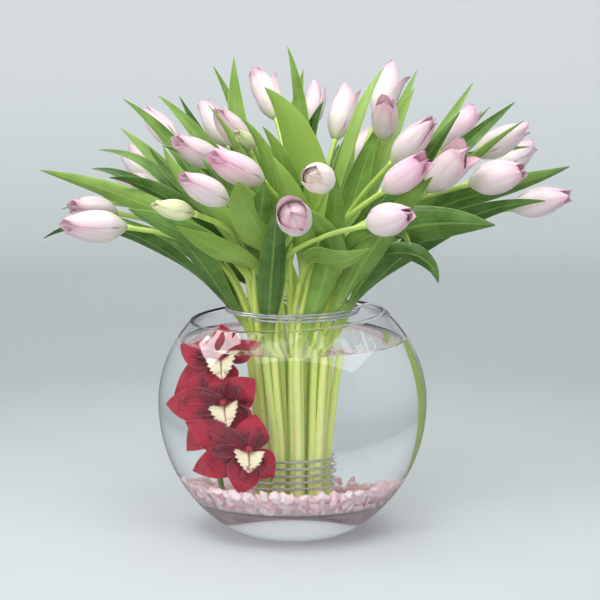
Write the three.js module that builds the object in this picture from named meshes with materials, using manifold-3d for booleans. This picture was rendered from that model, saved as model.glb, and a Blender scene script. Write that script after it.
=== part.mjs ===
/*
 * Pale pink tulips in a fishbowl vase of clear glass.
 *
 * The vase stands on its flat base and holds water over a bed of rose quartz chips. Thirty-four
 * tulips stand on the chips, tied low down by a coil of silver wire and once more at the rim.
 * A spike of crimson orchids and one long leaf are sunk in the water beside them.
 *
 * Millimetres, +Z up, front towards -Y. The origin is the centre of the vase's base.
 */
import * as THREE from 'three';
import Module from 'manifold-3d';
import { mergeVertices } from 'three/addons/utils/BufferGeometryUtils.js';

const wasm = await Module();
wasm.setup();

// ------------------------------------------------------------------ driving dimensions

const GAP = 0.3; // clearance between neighbouring pieces
const UP = new THREE.Vector3(0, 0, 1);
const BACK = new THREE.Vector3(0, 1, 0);
const TURN = 2 * Math.PI;

const VASE = {
  height: 203.8, // of the rim, on the middle
  slant: 4.8, // how much higher the rim lies at the right, and how much lower at the left
  shoulder: 187, // the slant starts over this height
  radius: 125.5, // outside, at its widest
  widest: 121, // height of the widest place
  above: 117.6, // upright half-axis of the ellipse over that height
  below: 134, // and of the one under it
  base: 50, // radius of the flat base
  wall: 4,
  floor: 36, // top of the solid glass bottom
  heel: 66, // the wall thickens below this height
  thickening: 13, // added to the wall at the floor
  sides: 24,
};
const WATER_LEVEL = 180;
const CHIPS = {
  level: 47, // height of the bed in the middle
  rise: 13, // how much higher it lies at the wall
  rough: 3, // how far its stones stand over or under that
  nest: 43, // floor of the hollow in which the tulips stand
  rings: [35, 48, 61, 74, 88], // radii at which the surface breaks into stones, outside the hollow
  edge: 4, // how far within the glass the last of them lies
  sides: 24,
  seed: 11,
};

const STEM = {
  radius: 3.1,
  sides: 5,
  spacing: 4.9, // between the axes of the three stems of a group
  uneven: 0.8, // how much shorter each of the three is cut than the one before
  bends: 3, // sections between the neck and the bloom
};
const BUNDLE = {
  outer: 21.5, // radius of the outer ring of groups of three, where the coil ties them
  inner: 8.2, // and of the inner ring
  outerGroups: 9,
  innerGroups: 3,
  tied: 83, // height of the top of the coil, under which the stems stand upright
  neck: 209, // height of the upper tie
  spread: 1.88, // how far the bundle has widened there
};
const COIL = { radius: 29.8, wire: 0.9, low: 57, pitch: 5.4, turns: 4.6, steps: 11 };
const RIM_WIRE = { radius: 61.5, wire: 0.9, low: 206, pitch: 2.6, turns: 2.3, steps: 15, start: -2.2 };

const PETAL = {
  rise: 1.7, // how far the outer petals stand over the inner ones
  foot: 0.17, // width at the foot, as a share of the widest
  belly: 0.42, // where a bloom is widest, from foot (0) to tips (1)
  closed: 0.28, // width at the tips of a closed bloom
  opening: 0.8, // added to that in a bloom that is fully open
  throat: 0.55, // how deep the throat lies
};
const LEAF = {
  thickness: 1.1,
  row: 48, // length of one flat of a blade
  narrow: 26, // blades under this width have one flat across, the others are folded in two
  lowest: 165, // height of the roots on the outermost stems
  highest: 232, // and on the inner ones
  next: 12, // how much higher a stem's second leaf springs
  spring: 20, // how fast a blade leaves its stem
  lean: 0.21, // a tip this far out is carried by a stem that far out at the neck
  fold: 0.3, // angle that each half of a blade is folded up from flat
  clasp: 0.45, // and how much more it is folded at the root
  collar: 57, // radius that the leaves keep within at the rim wire
  collarTop: 214,
};
const FILLING = { leaves: 4, draws: 14, seed: 5 };
const REACH = { bloom: 3.5, stem: 4.2, leaf: 4.6 }; // how far each keeps its neighbours away

// Tulips: foot of the bloom, its tip, its radius and how open it is.
const TULIPS = [
  [[-150, -40, 290], [-205, -70, 295], 15, 0.25],
  [[-165, 30, 295], [-205, -5, 305], 13, 0.2],
  [[-85, -110, 310], [-120, -130, 320], 9.5, 0],
  [[-55, -110, 320], [-95, -140, 345], 12.5, 0.15],
  [[-125, 50, 315], [-165, 85, 320], 12, 0.2],
  [[-130, 95, 320], [-165, 135, 340], 12, 0.2],
  [[-135, 130, 330], [-160, 170, 345], 12, 0.3],
  [[-110, 110, 350], [-145, 135, 385], 12, 0.2],
  [[-65, -20, 345], [-105, -55, 370], 12.5, 0.2],
  [[-25, -80, 335], [-70, -110, 360], 14, 0.3],
  [[-60, 55, 355], [-85, 85, 395], 12.5, 0.3],
  [[-40, 15, 355], [-70, -10, 395], 12.5, 0.2],
  [[-15, 70, 380], [-30, 105, 420], 13, 0.8],
  [[15, 110, 370], [25, 140, 410], 12, 0.4],
  [[40, 70, 360], [55, 95, 410], 13, 0.5],
  [[80, 85, 380], [100, 115, 425], 13, 0.8],
  [[85, 15, 365], [85, -20, 405], 12.5, 0.4],
  [[90, -50, 350], [125, -80, 390], 13, 0.1],
  [[140, 65, 350], [175, 85, 390], 13, 0.3],
  [[170, 20, 350], [220, 40, 375], 13.5, 0.1],
  [[120, -60, 325], [155, -85, 365], 14.5, 0.7],
  [[80, -110, 330], [115, -145, 360], 13, 0.4],
  [[160, -45, 330], [205, -80, 345], 15.5, 0.1],
  [[200, -20, 305], [250, -50, 320], 13.5, 0.1],
  [[65, -150, 305], [100, -190, 320], 14.5, 0.1],
  [[30, -130, 340], [15, -175, 350], 13.5, 0.3],
  [[5, -140, 305], [0, -190, 320], 15, 0.6],
  [[-35, -10, 360], [-50, -40, 375], 8, 0],
  [[195, 75, 330], [233, 117, 351], 13, 0.2],
  [[-60, 140, 320], [-80, 185, 345], 14, 0.3],
  [[0, 145, 335], [0, 190, 365], 13, 0.2],
  [[60, 140, 330], [80, 180, 360], 14, 0.3],
  [[120, 125, 325], [151, 163, 347], 13, 0.2],
  [[-110, 150, 300], [-140, 190, 315], 13, 0.2],
].map(([base, tip, radius, open]) => ({
  base: new THREE.Vector3(...base),
  tip: new THREE.Vector3(...tip),
  radius,
  open,
}));

// The leaves that shape the bouquet: tip, width, pitch of the tip over the horizontal in degrees
// and how far the blade turns its face to the front (0 to 1).
const LEAVES = [
  [[-230, -20, 340], 22, 15, 0.8],
  [[-230, 0, 275], 20, -25, 0.6],
  [[-215, 20, 300], 18, -5, 0.6],
  [[-146, -70, 310], 26, 25, 0.8],
  [[-101, -100, 298], 24, 35, 0.8],
  [[-180, 20, 355], 18, 0, 0.5],
  [[-190, 50, 335], 20, 0, 0.5],
  [[-165, -40, 335], 22, 20, 0.6],
  [[-133, 0, 361], 18, 60, 0.5],
  [[-115, -60, 365], 22, 70, 0.7],
  [[-118, -30, 363], 18, 15, 0.5],
  [[-160, 60, 400], 20, 40, 0.5],
  [[-165, 90, 370], 20, 30, 0.5],
  [[-125, 30, 405], 22, 40, 0.6],
  [[-110, 110, 400], 20, 75, 0.3],
  [[-76, -20, 399], 18, 45, 0.6],
  [[-68, 10, 390], 18, 25, 0.6],
  [[-75, 70, 430], 20, 75, 0.5],
  [[-55, 50, 440], 26, 75, 0.6],
  [[-25, -20, 415], 40, 40, 0.9],
  [[-5, 60, 450], 18, 85, 0.2],
  [[10, 120, 425], 20, 80, 0.2],
  [[29, 60, 398], 24, 85, 0.5],
  [[-45, -40, 389], 20, 60, 0.6],
  [[-26, -80, 384], 24, 60, 0.6],
  [[-80, -70, 355], 24, 62, 0.7],
  [[-46, -150, 342], 40, 55, 0.8],
  [[-16, -110, 359], 28, 80, 0.6],
  [[7, -115, 318], 26, 80, 0.5],
  [[11, -90, 335], 24, 75, 0.5],
  [[35, -115, 350], 26, 60, 0.7],
  [[62, 60, 387], 26, 68, 0.6],
  [[82, 10, 383], 26, 62, 0.7],
  [[85, 40, 430], 20, 50, 0.5],
  [[115, 60, 410], 24, 55, 0.7],
  [[120, 110, 425], 18, 45, 0.5],
  [[149, -60, 395], 22, 48, 0.7],
  [[170, 60, 415], 22, 52, 0.6],
  [[190, 100, 390], 18, 40, 0.5],
  [[205, 10, 400], 22, 40, 0.7],
  [[210, -20, 385], 18, 36, 0.6],
  [[225, 60, 355], 18, 8, 0.5],
  [[250, -40, 345], 26, 15, 0.8],
  [[225, -70, 317], 26, -5, 0.8],
  [[177, -110, 300], 38, -15, 0.9],
  [[129, -95, 247], 20, -85, 0.8],
  [[120, -140, 345], 28, 30, 0.8],
  [[99, -190, 293], 26, -25, 0.6],
  [[68, -150, 285], 28, 40, 0.7],
].map(([tip, width, pitch, turn]) => ({
  tip: new THREE.Vector3(...tip),
  width,
  pitch: THREE.MathUtils.degToRad(pitch),
  turn,
}));

// A spike of orchids in the water: the middle of each flower, the way it faces, and the direction
// (in degrees from the right, anticlockwise) and length of its five petals.
const ORCHIDS = [
  [[-56, -38, 162], [-0.2, -1, 0.25], [[97, 40], [150, 45], [203, 42], [262, 22], [28, 30]]],
  [[-52, -50, 128], [-0.25, -1, 0.05], [[88, 24], [168, 46], [215, 42], [292, 28], [30, 27]]],
  [[-36, -65, 93], [0.05, -1, 0], [[78, 28], [160, 50], [205, 42], [262, 34], [318, 28]]],
].map(([middle, face, petals]) => ({
  middle: new THREE.Vector3(...middle),
  face: new THREE.Vector3(...face).normalize(),
  petals: petals.map(([degrees, length]) => ({ angle: THREE.MathUtils.degToRad(degrees), length })),
}));
const ORCHID = { width: 25, thickness: 1, cup: 5, heart: 5, lip: 16, lipWidth: 18, turned: 0.62 };
const SPIKE = {
  radius: 2.4,
  pedicel: 1.4, // radius of the flowers' stalks
  steps: 4,
  route: [[-51, -31, 39], [-58, -26, 100], [-56, -25, 150]],
};
const SUNKEN_LEAF = {
  width: 15,
  facing: [0.5, -0.87, 0],
  route: [[77, 20, 42], [101, 0, 100], [103, -6, 140], [86, 4, 187]],
};
const POCKET = { x: -50, y: -47, wide: 59, deep: 43 }; // the orchids' room in the water
const WELL = { clear: 2.5, narrow: 84, widening: 0.21, sides: 12 }; // and the tulips' room

// ------------------------------------------------------------------ solids

/** A closed three.js geometry as a solid that can be joined and cut. */
function solid(geometry) {
  const bare = geometry.clone();
  bare.deleteAttribute('normal');
  bare.deleteAttribute('uv');
  const merged = mergeVertices(bare, 1e-4);
  const corners = merged.index.array;
  const triangles = [];
  for (let i = 0; i < corners.length; i += 3) {
    const [a, b, c] = [corners[i], corners[i + 1], corners[i + 2]];
    if (a !== b && b !== c && c !== a) triangles.push(a, b, c);
  }
  return new wasm.Manifold(new wasm.Mesh({
    numProp: 3,
    vertProperties: Float32Array.from(merged.attributes.position.array),
    triVerts: Uint32Array.from(triangles),
  }));
}

function union(bodies) {
  return bodies.reduce((whole, body) => whole.add(body));
}

/** The largest connected piece of a body; loose scraps left by a cut are dropped. */
function largest(body) {
  const pieces = body.decompose();
  return pieces.reduce((best, piece) => (piece.volume() > best.volume() ? piece : best));
}

/** A named mesh made from a solid. */
function mesh(name, body, { color, roughness = 0.5, metalness = 0, opacity = 1 }) {
  const { vertProperties, triVerts } = body.getMesh();
  const geometry = new THREE.BufferGeometry();
  geometry.setAttribute('position', new THREE.Float32BufferAttribute(vertProperties, 3));
  geometry.setIndex(Array.from(triVerts));
  geometry.computeVertexNormals();
  const material = new THREE.MeshStandardMaterial({
    color, roughness, metalness, opacity, transparent: opacity < 1, flatShading: true,
  });
  const result = new THREE.Mesh(geometry, material);
  result.name = name;
  return result;
}

function indexed(points, triangles) {
  const geometry = new THREE.BufferGeometry();
  geometry.setAttribute('position', new THREE.Float32BufferAttribute(points.flatMap((p) => p.toArray()), 3));
  geometry.setIndex(triangles);
  return geometry;
}

/** A body of revolution about Z from [radius, height] pairs, given anticlockwise. */
function turned(profile, sides) {
  const lathe = new THREE.LatheGeometry(profile.map(([r, z]) => new THREE.Vector2(r, z)), sides);
  return solid(lathe.rotateX(Math.PI / 2));
}

function tube(path, radius, sides, steps) {
  const corners = Array.from({ length: sides }, (_, i) => new THREE.Vector2(
    radius * Math.cos((TURN * i) / sides),
    radius * Math.sin((TURN * i) / sides),
  ));
  return solid(new THREE.ExtrudeGeometry(new THREE.Shape(corners), {
    extrudePath: path, steps, bevelEnabled: false,
  }));
}

/**
 * A thin sheet. surface(u, v) gives a point and the normal there, with u from base to tip and v
 * from -1 to 1 across. Both faces have their diagonals alike, so a bent sheet never cuts itself.
 */
function sheet(rows, columns, thickness, surface) {
  const points = [];
  for (const side of [0.5, -0.5]) {
    for (let i = 0; i <= rows; i++) {
      for (let j = 0; j <= columns; j++) {
        const { point, normal } = surface(i / rows, (2 * j) / columns - 1);
        points.push(point.clone().addScaledVector(normal, side * thickness));
      }
    }
  }
  const front = (i, j) => i * (columns + 1) + j;
  const back = (i, j) => front(i, j) + (rows + 1) * (columns + 1);
  const triangles = [];
  const quad = (a, b, c, d) => triangles.push(a, b, c, a, c, d);
  for (let i = 0; i < rows; i++) {
    for (let j = 0; j < columns; j++) {
      quad(front(i, j), front(i + 1, j), front(i + 1, j + 1), front(i, j + 1));
      triangles.push(back(i, j), back(i + 1, j + 1), back(i + 1, j));
      triangles.push(back(i, j), back(i, j + 1), back(i + 1, j + 1));
    }
    quad(front(i, columns), front(i + 1, columns), back(i + 1, columns), back(i, columns));
    quad(back(i, 0), back(i + 1, 0), front(i + 1, 0), front(i, 0));
  }
  for (let j = 0; j < columns; j++) {
    quad(front(rows, j), back(rows, j), back(rows, j + 1), front(rows, j + 1));
    quad(front(0, j + 1), back(0, j + 1), back(0, j), front(0, j));
  }
  return solid(indexed(points, triangles));
}

/** A closed skin over rings of points, from the base up and anticlockwise seen from the tip. */
function skin(rings) {
  const points = rings.flat();
  const starts = rings.map((_, i) => rings.slice(0, i).reduce((sum, ring) => sum + ring.length, 0));
  const triangles = [];
  for (let i = 0; i + 1 < rings.length; i++) {
    const count = Math.max(rings[i].length, rings[i + 1].length);
    const at = (ring, j) => starts[ring] + (j % rings[ring].length);
    for (let j = 0; j < count; j++) {
      if (rings[i].length > 1) triangles.push(at(i, j), at(i, j + 1), at(i + 1, j + 1));
      if (rings[i + 1].length > 1) triangles.push(at(i, j), at(i + 1, j + 1), at(i + 1, j));
    }
  }
  for (let j = 1; j + 1 < rings[0].length; j++) triangles.push(0, j + 1, j);
  return solid(indexed(points, triangles));
}

/** Seeded numbers between 0 and 1. */
function sequence(seed) {
  let state = seed;
  return () => {
    state = (state * 1664525 + 1013904223) % 4294967296;
    return state / 4294967296;
  };
}

/** Points all round, from the angle of each; a shift turns them by a share of their spacing. */
function circle(count, pointAt, shift = 0) {
  return Array.from({ length: count }, (_, i) => pointAt((TURN * (i + shift)) / count));
}

const smooth = (x) => THREE.MathUtils.smoothstep(x, 0, 1);
const azimuth = (p) => Math.atan2(p.y, p.x);
const around = (radius, angle, z) => new THREE.Vector3(radius * Math.cos(angle), radius * Math.sin(angle), z);

// ------------------------------------------------------------------ vase, water and chips

function outerRadius(z) {
  const half = z > VASE.widest ? VASE.above : VASE.below;
  return VASE.radius * Math.sqrt(1 - ((z - VASE.widest) / half) ** 2);
}

function innerRadius(z) {
  const heel = Math.max(0, (VASE.heel - z) / (VASE.heel - VASE.floor));
  return outerRadius(z) - VASE.wall - VASE.thickening * heel ** 2.2;
}

/** [radius, height] pairs up a wall from low to high, closer together where it curves most. */
function rising(radiusAt, low, high, count) {
  return Array.from({ length: count + 1 }, (_, i) => {
    const z = (low + high) / 2 - ((high - low) / 2) * Math.cos((Math.PI * i) / count);
    return [radiusAt(z), z];
  });
}

const INSIDE = rising(innerRadius, VASE.floor, VASE.shoulder, 6);

/** Height of the rim, which is cut a little aslant. */
const rimHeight = (angle) => VASE.height + VASE.slant * Math.cos(angle);

function vase() {
  const level = ([r, z]) => circle(VASE.sides, (angle) => around(r, angle, z));
  const lip = (radiusAt) => circle(VASE.sides, (angle) => {
    const z = rimHeight(angle) - VASE.wall / 2;
    return around(radiusAt(z), angle, z);
  });
  const crown = circle(VASE.sides, (angle) => (
    around(outerRadius(rimHeight(angle)) - VASE.wall / 2, angle, rimHeight(angle))));
  return skin([
    level([VASE.base, 0]), ...rising(outerRadius, 2, VASE.shoulder, 6).map(level), lip(outerRadius),
    crown, lip(innerRadius), ...[...INSIDE].reverse().map(level), [around(0, 0, VASE.floor)],
  ]);
}

/** Radius just clear of the inside of the glass. */
function withinGlass(z) {
  const above = Math.max(1, INSIDE.findIndex(([, height]) => height >= z));
  const [[r0, z0], [r1, z1]] = [INSIDE[above - 1], INSIDE[above]];
  return THREE.MathUtils.mapLinear(z, z0, z1, r0, r1) - 1.2 * GAP;
}

/** Height of the bed of chips, higher towards the wall. */
const bedHeight = (r) => CHIPS.level + CHIPS.rise * (r / innerRadius(CHIPS.level + CHIPS.rise)) ** 2;

/** Radii of the rings of stones, from the hollow to the wall. */
const stoneRings = () => [...CHIPS.rings, withinGlass(CHIPS.level + CHIPS.rise) - CHIPS.edge];

/** The bed: level where the tulips stand, rough around them, with a hole for each thing sunk in it. */
function chips() {
  const draw = sequence(CHIPS.seed);
  const ring = (radius, shift, heightAt) => circle(CHIPS.sides, (angle) => (
    around(radius, angle, heightAt(radius))), shift);
  const low = VASE.floor + GAP;
  const high = bedHeight(withinGlass(CHIPS.level + CHIPS.rise)) - CHIPS.rough;
  const between = INSIDE.map(([, z]) => z).filter((z) => z > low && z < high);
  const sides = [low, ...between, high].map((z) => ring(withinGlass(z), 0, () => z));
  const stones = stoneRings().reverse()
    .map((radius, k) => ring(radius, 0.5 * (k % 2), (r) => bedHeight(r) + CHIPS.rough * (2 * draw() - 1)));
  const nest = [ring(CHIPS.rings[0] - 1, 0, () => CHIPS.nest), [around(0, 0, CHIPS.nest)]];
  return skin([...sides, ...stones, ...nest]).subtract(spikeHole()).subtract(sunkenLeaf(2 * GAP));
}

// ------------------------------------------------------------------ where the stems stand

/** The stems in groups, each stem with its seat where the coil ties the bundle. */
function standing() {
  const byAzimuth = (a, b) => azimuth(a.base) - azimuth(b.base);
  const lean = (tulip) => Math.hypot(tulip.base.x, tulip.base.y);
  const upright = [...TULIPS].sort((a, b) => lean(a) - lean(b)).slice(0, 3 * BUNDLE.innerGroups);
  const leaning = TULIPS.filter((tulip) => !upright.includes(tulip));
  const rings = [
    [upright, BUNDLE.innerGroups, BUNDLE.inner],
    [leaning, BUNDLE.outerGroups, BUNDLE.outer],
  ];
  return rings.flatMap(([tulips, count, radius], ring) => {
    tulips.sort(byAzimuth);
    const groups = Array.from({ length: count }, (_, g) => (
      tulips.filter((_, i) => Math.floor((i * count) / tulips.length) === g)));
    return groups.map((members, g) => {
      const angle = (TURN * (g + 0.5 * ring)) / count - Math.PI + Math.PI / count * (1 - ring);
      const middle = around(radius, angle, 0);
      const outward = [...members].sort((a, b) => lean(b) - lean(a));
      const inward = outward.slice(1).sort(byAzimuth);
      const corners = [angle, angle - TURN / 3, angle + TURN / 3];
      [outward[0], ...inward].forEach((tulip, m) => {
        tulip.seat = around(STEM.spacing / Math.sqrt(3), corners[m], 0).add(middle);
        tulip.foot = CHIPS.nest + GAP + STEM.uneven * m;
      });
      return members;
    });
  });
}

// ------------------------------------------------------------------ keeping clear

/** How far a set of sample points pushes into the obstacles; nothing when it is clear. */
function crowding(samples, obstacles) {
  let total = 0;
  for (const s of samples) {
    for (const o of obstacles) {
      const reach = s.reach + o.reach;
      const square = s.point.distanceToSquared(o.point);
      if (square < reach * reach) total += (reach - Math.sqrt(square)) ** 2;
    }
  }
  return total;
}

/** The first of the candidates that pushes least into the obstacles. */
function clearest(candidates, samplesOf, obstacles, extra = () => 0) {
  let best = null;
  for (const candidate of candidates) {
    const samples = samplesOf(candidate);
    const score = crowding(samples, obstacles) + candidate.effort + extra(samples);
    if (!best || score < best.score) best = { candidate, samples, score };
  }
  return best;
}

const heading = (tulip) => tulip.tip.clone().sub(tulip.base).normalize();

function bloomSamples(tulip) {
  return [0.15, 0.38, 0.6, 0.85].map((u) => ({
    point: tulip.base.clone().lerp(tulip.tip, u),
    reach: bloomRadius(tulip, u) + REACH.bloom,
  }));
}

// ------------------------------------------------------------------ stems

/** A smooth curve whose sections fall on its own points, however far apart those are. */
class StemCurve extends THREE.CatmullRomCurve3 {
  getPointAt(t) {
    return this.getPoint(t);
  }

  getTangentAt(t) {
    return this.getTangent(t);
  }
}

/** A stem's midline: upright through the coil, widening to the neck, then bent to its bloom. */
function stemPath(tulip, { side, lift }) {
  const { seat, base } = tulip;
  const foot = seat.clone().setZ(tulip.foot);
  const tied = seat.clone().setZ(BUNDLE.tied);
  const neck = seat.clone().multiplyScalar(BUNDLE.spread).setZ(BUNDLE.neck);
  const span = neck.distanceTo(base);
  const rising = neck.clone().sub(tied).normalize();
  const aside = new THREE.Vector3(-rising.y, rising.x, 0).normalize();
  const bend = new THREE.CubicBezierCurve3(
    neck,
    neck.clone().addScaledVector(rising, 0.4 * span).addScaledVector(aside, side),
    base.clone().addScaledVector(heading(tulip), -0.3 * span).addScaledVector(UP, lift),
    base.clone().addScaledVector(heading(tulip), -GAP - 0.05),
  );
  const bent = Array.from({ length: STEM.bends }, (_, i) => bend.getPoint((i + 1) / STEM.bends));
  return new StemCurve([foot, tied, neck, ...bent]);
}

/** A point on a stem's axis and the way it runs there, along its straight sections. */
function onStem(stem, t) {
  const { points } = stem.path;
  const section = Math.min(points.length - 2, Math.floor(t * (points.length - 1)));
  const [from, to] = [points[section], points[section + 1]];
  return {
    root: from.clone().lerp(to, t * (points.length - 1) - section),
    along: to.clone().sub(from).normalize(),
  };
}

function bendStems(groups) {
  const blooms = TULIPS.map(bloomSamples);
  const placed = [];
  const bends = [0, 10, -10, 20, -20, 30, -30].flatMap((side) => (
    [0, 12, -12].map((lift) => ({ side, lift, effort: Math.abs(side) + Math.abs(lift) }))));
  for (const tulip of groups.flat()) {
    const others = blooms.filter((_, i) => TULIPS[i] !== tulip).flat();
    const samplesOf = (bend) => {
      const path = stemPath(tulip, bend);
      return Array.from({ length: 26 }, (_, i) => ({
        point: path.getPoint(0.3 + (0.68 * i) / 25), reach: REACH.stem,
      }));
    };
    const { candidate, samples } = clearest(bends, samplesOf, [...others, ...placed]);
    tulip.path = stemPath(tulip, candidate);
    tulip.samples = samples;
    placed.push(...samples);
  }
}

// ------------------------------------------------------------------ leaves

/** A blade's midline and its face, from its stem out to its tip. A steady one never turns over. */
function leafForm(leaf, { side, lift, twist }, steady = false) {
  const { stem, tip, t } = leaf;
  const { root, along } = onStem(stem, t);
  const span = root.distanceTo(tip);
  const out = tip.clone().sub(root).setZ(0).normalize();
  const aside = new THREE.Vector3(-out.y, out.x, 0);
  const arrival = out.clone().multiplyScalar(Math.cos(leaf.pitch)).addScaledVector(UP, Math.sin(leaf.pitch));
  const leaving = root.clone().addScaledVector(along, 0.3 * span)
    .addScaledVector(aside, 0.4 * side)
    .addScaledVector(out, LEAF.spring);
  const arriving = tip.clone().addScaledVector(arrival, -0.36 * span)
    .addScaledVector(aside, side)
    .addScaledVector(UP, lift);
  const midrib = new THREE.CubicBezierCurve3(root, leaving, arriving, tip);
  const axes = (u) => {
    const forward = midrib.getTangent(u);
    const across = aside.clone().addScaledVector(forward, -aside.dot(forward)).normalize();
    const facing = forward.clone().cross(BACK).normalize();
    return { forward, across, facing, way: Math.sign(facing.dot(across)) || 1 };
  };
  const { way: first } = axes(0.3);
  return (u, v) => {
    const { forward, across, facing, way } = axes(u);
    const turned = smooth((u - 0.1) / 0.5);
    across.lerp(facing.multiplyScalar(steady ? first : way), leaf.turn * turned).normalize();
    across.applyAxisAngle(forward, twist * turned);
    const inward = forward.clone().cross(across);
    const fold = LEAF.fold + LEAF.clasp * (1 - smooth(u / 0.4));
    const half = 0.5 * leaf.width * leafOutline(u);
    const point = midrib.getPoint(u)
      .addScaledVector(across, v * half * Math.cos(fold))
      .addScaledVector(inward, Math.abs(v) * half * Math.sin(fold));
    return { point, normal: inward };
  };
}

/** Half-width along a blade, 1 at its widest: clasping at the root, broad, then drawn to a point. */
function leafOutline(u) {
  const broadest = 0.48;
  if (u < broadest) return 0.15 + 0.85 * smooth(u / broadest) ** 0.7;
  return 1 - 0.97 * ((u - broadest) / (1 - broadest)) ** 1.8;
}

function leafSamples(form) {
  const samples = [];
  for (let i = 3; i <= 13; i++) {
    for (const v of [-0.8, 0, 0.8]) samples.push({ point: form(i / 13, v).point, reach: REACH.leaf });
  }
  return samples;
}

/** How far a leaf stands out of the collar of wire at the neck. */
function bulging(samples) {
  return samples.filter(({ point }) => point.z < LEAF.collarTop)
    .reduce((sum, { point }) => sum + 4 * Math.max(0, Math.hypot(point.x, point.y) - LEAF.collar) ** 2, 0);
}

/** Grows the leaves one by one, each bent clear of the blooms, the stems and the leaves before it. */
function growLeaves() {
  const blooms = TULIPS.flatMap(bloomSamples);
  const stems = TULIPS.flatMap((tulip) => tulip.samples);
  const counts = TULIPS.map(() => 0);
  const grown = [];
  const obstacles = [...blooms, ...stems];
  const grow = (owner, shapes, bends) => {
    const stem = TULIPS[owner];
    const outermost = smooth((Math.hypot(stem.seat.x, stem.seat.y) - BUNDLE.outer) / 2.5);
    const start = THREE.MathUtils.lerp(LEAF.highest, LEAF.lowest, outermost) + LEAF.next * counts[owner];
    let t = 0;
    while (onStem(stem, t).root.z < start) t += 0.004;
    const candidates = shapes.flatMap((shape) => bends.map((bend) => ({
      ...bend, leaf: { ...shape, stem, t },
    })));
    const { candidate, samples } = clearest(
      candidates, (bend) => leafSamples(leafForm(bend.leaf, bend)), obstacles, bulging);
    grown.push({ ...candidate.leaf, bend: candidate });
    obstacles.push(...samples);
    counts[owner] += 1;
  };
  const bends = [0, 8, -8, 16, -16, 24, -24, 32, -32].flatMap((side) => [0, 12, -12].flatMap((lift) => (
    [0, 0.3, -0.3].map((twist) => (
      { side, lift, twist, effort: Math.abs(side) + Math.abs(lift) + 30 * Math.abs(twist) })))));
  for (const leaf of LEAVES) grow(nearestStem(leaf.tip, counts), [leaf], bends);

  const draw = sequence(FILLING.seed);
  const still = [{ side: 0, lift: 0, twist: 0, effort: 0 }];
  for (let i = 0; i < FILLING.leaves; i++) {
    const owner = counts.indexOf(Math.min(...counts));
    const { base } = TULIPS[owner];
    const shapes = Array.from({ length: FILLING.draws }, () => ({
      tip: around(50 + 0.8 * Math.hypot(base.x, base.y) * (0.6 + 0.6 * draw()),
        azimuth(base) + 1.3 * (draw() - 0.5), base.z - 30 + 60 * draw()),
      width: 22 + 8 * draw(),
      pitch: 0.2 + 0.9 * draw(),
      turn: 0.8 * draw(),
    }));
    grow(owner, shapes, still);
  }
  return grown;
}

/** The stem whose neck lies nearest under a leaf's tip, of those that carry fewer than two leaves. */
function nearestStem(tip, counts) {
  const goal = tip.clone().multiplyScalar(LEAF.lean).setZ(0);
  let best = null;
  TULIPS.forEach((tulip, i) => {
    const neck = tulip.seat.clone().multiplyScalar(BUNDLE.spread).setZ(0);
    const score = neck.distanceTo(goal) + 12 * counts[i];
    if (counts[i] < 2 && (!best || score < best.score)) best = { i, score };
  });
  return best.i;
}

function blade(leaf, grow = 0) {
  const columns = leaf.width < LEAF.narrow ? 1 : 2;
  const shape = { ...leaf, width: leaf.width + 2 * grow };
  const rows = Math.round(leaf.tip.distanceTo(onStem(leaf.stem, leaf.t).root) / LEAF.row);
  return sheet(rows, columns, LEAF.thickness + 2 * grow, leafForm(shape, leaf.bend, true));
}

// ------------------------------------------------------------------ blooms

/** Radius of a bloom at u from its foot (0) to its tips (1). */
function bloomRadius(tulip, u) {
  const { foot, belly, closed, opening } = PETAL;
  const widest = tulip.radius - PETAL.rise;
  if (u < belly) return widest * (foot + (1 - foot) * Math.sin((Math.PI / 2) * (u / belly)) ** 0.85);
  const atTips = closed + opening * tulip.open;
  return widest * (1 - (1 - atTips) * ((u - belly) / (1 - belly)) ** 2);
}

/** Half of the angle that an outer petal covers at u. */
function petalReach(u) {
  const broadest = 0.45;
  if (u < broadest) return 0.62 + 0.2 * (u / broadest);
  return 0.82 * (1 - 0.9 * ((u - broadest) / (1 - broadest)) ** 2);
}

/**
 * A bloom standing on its foot: three outer petals proud of the three inner ones, which show
 * between them, all drawn up to points around an open throat.
 */
function bloom(tulip) {
  const length = tulip.base.distanceTo(tulip.tip);
  const proud = PETAL.rise - 0.4;
  const at = (u, angle, out) => around(bloomRadius(tulip, u) + out, angle, length * u);
  const ring = (u) => [0, 1, 2].flatMap((k) => {
    const middle = (TURN * k) / 3;
    const reach = petalReach(u);
    return [
      at(u, middle - reach, -0.5), at(u, middle - reach, proud), at(u, middle, proud + 0.4),
      at(u, middle + reach, proud), at(u, middle + reach, -0.5), at(u, middle + TURN / 6, 0),
    ];
  });
  const points = [0, 1, 2].flatMap((k) => {
    const middle = (TURN * k) / 3;
    return [
      at(0.84, middle - 0.5, -0.8), at(0.87, middle - 0.4, proud), at(1, middle, proud),
      at(0.87, middle + 0.4, proud), at(0.84, middle + 0.5, -0.8), at(0.95, middle + TURN / 6, -0.4),
    ];
  });
  const throat = [around(0, 0, PETAL.throat * length)];
  return skin([ring(0), ring(0.22), ring(0.52), points, throat]);
}

/** The smooth egg that a bloom fills, to cut what would touch it. */
function bloomRoom(tulip) {
  const length = tulip.base.distanceTo(tulip.tip);
  const stations = [0, 0.12, 0.3, 0.5, 0.75, 1];
  const wide = stations.map((u) => [bloomRadius(tulip, u) + 1.2 + GAP, length * u]);
  wide[0][1] = -GAP;
  wide[stations.length - 1][1] += GAP + 0.5;
  const egg = turned([[0, wide[0][1]], ...wide, [0, wide[stations.length - 1][1]]], 12);
  return egg.transform(placement(tulip).toArray());
}

function placement(tulip) {
  const turn = new THREE.Quaternion().setFromUnitVectors(UP, heading(tulip));
  return new THREE.Matrix4().compose(tulip.base, turn, new THREE.Vector3(1, 1, 1));
}

// ------------------------------------------------------------------ wires, water and what is sunk in it

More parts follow.
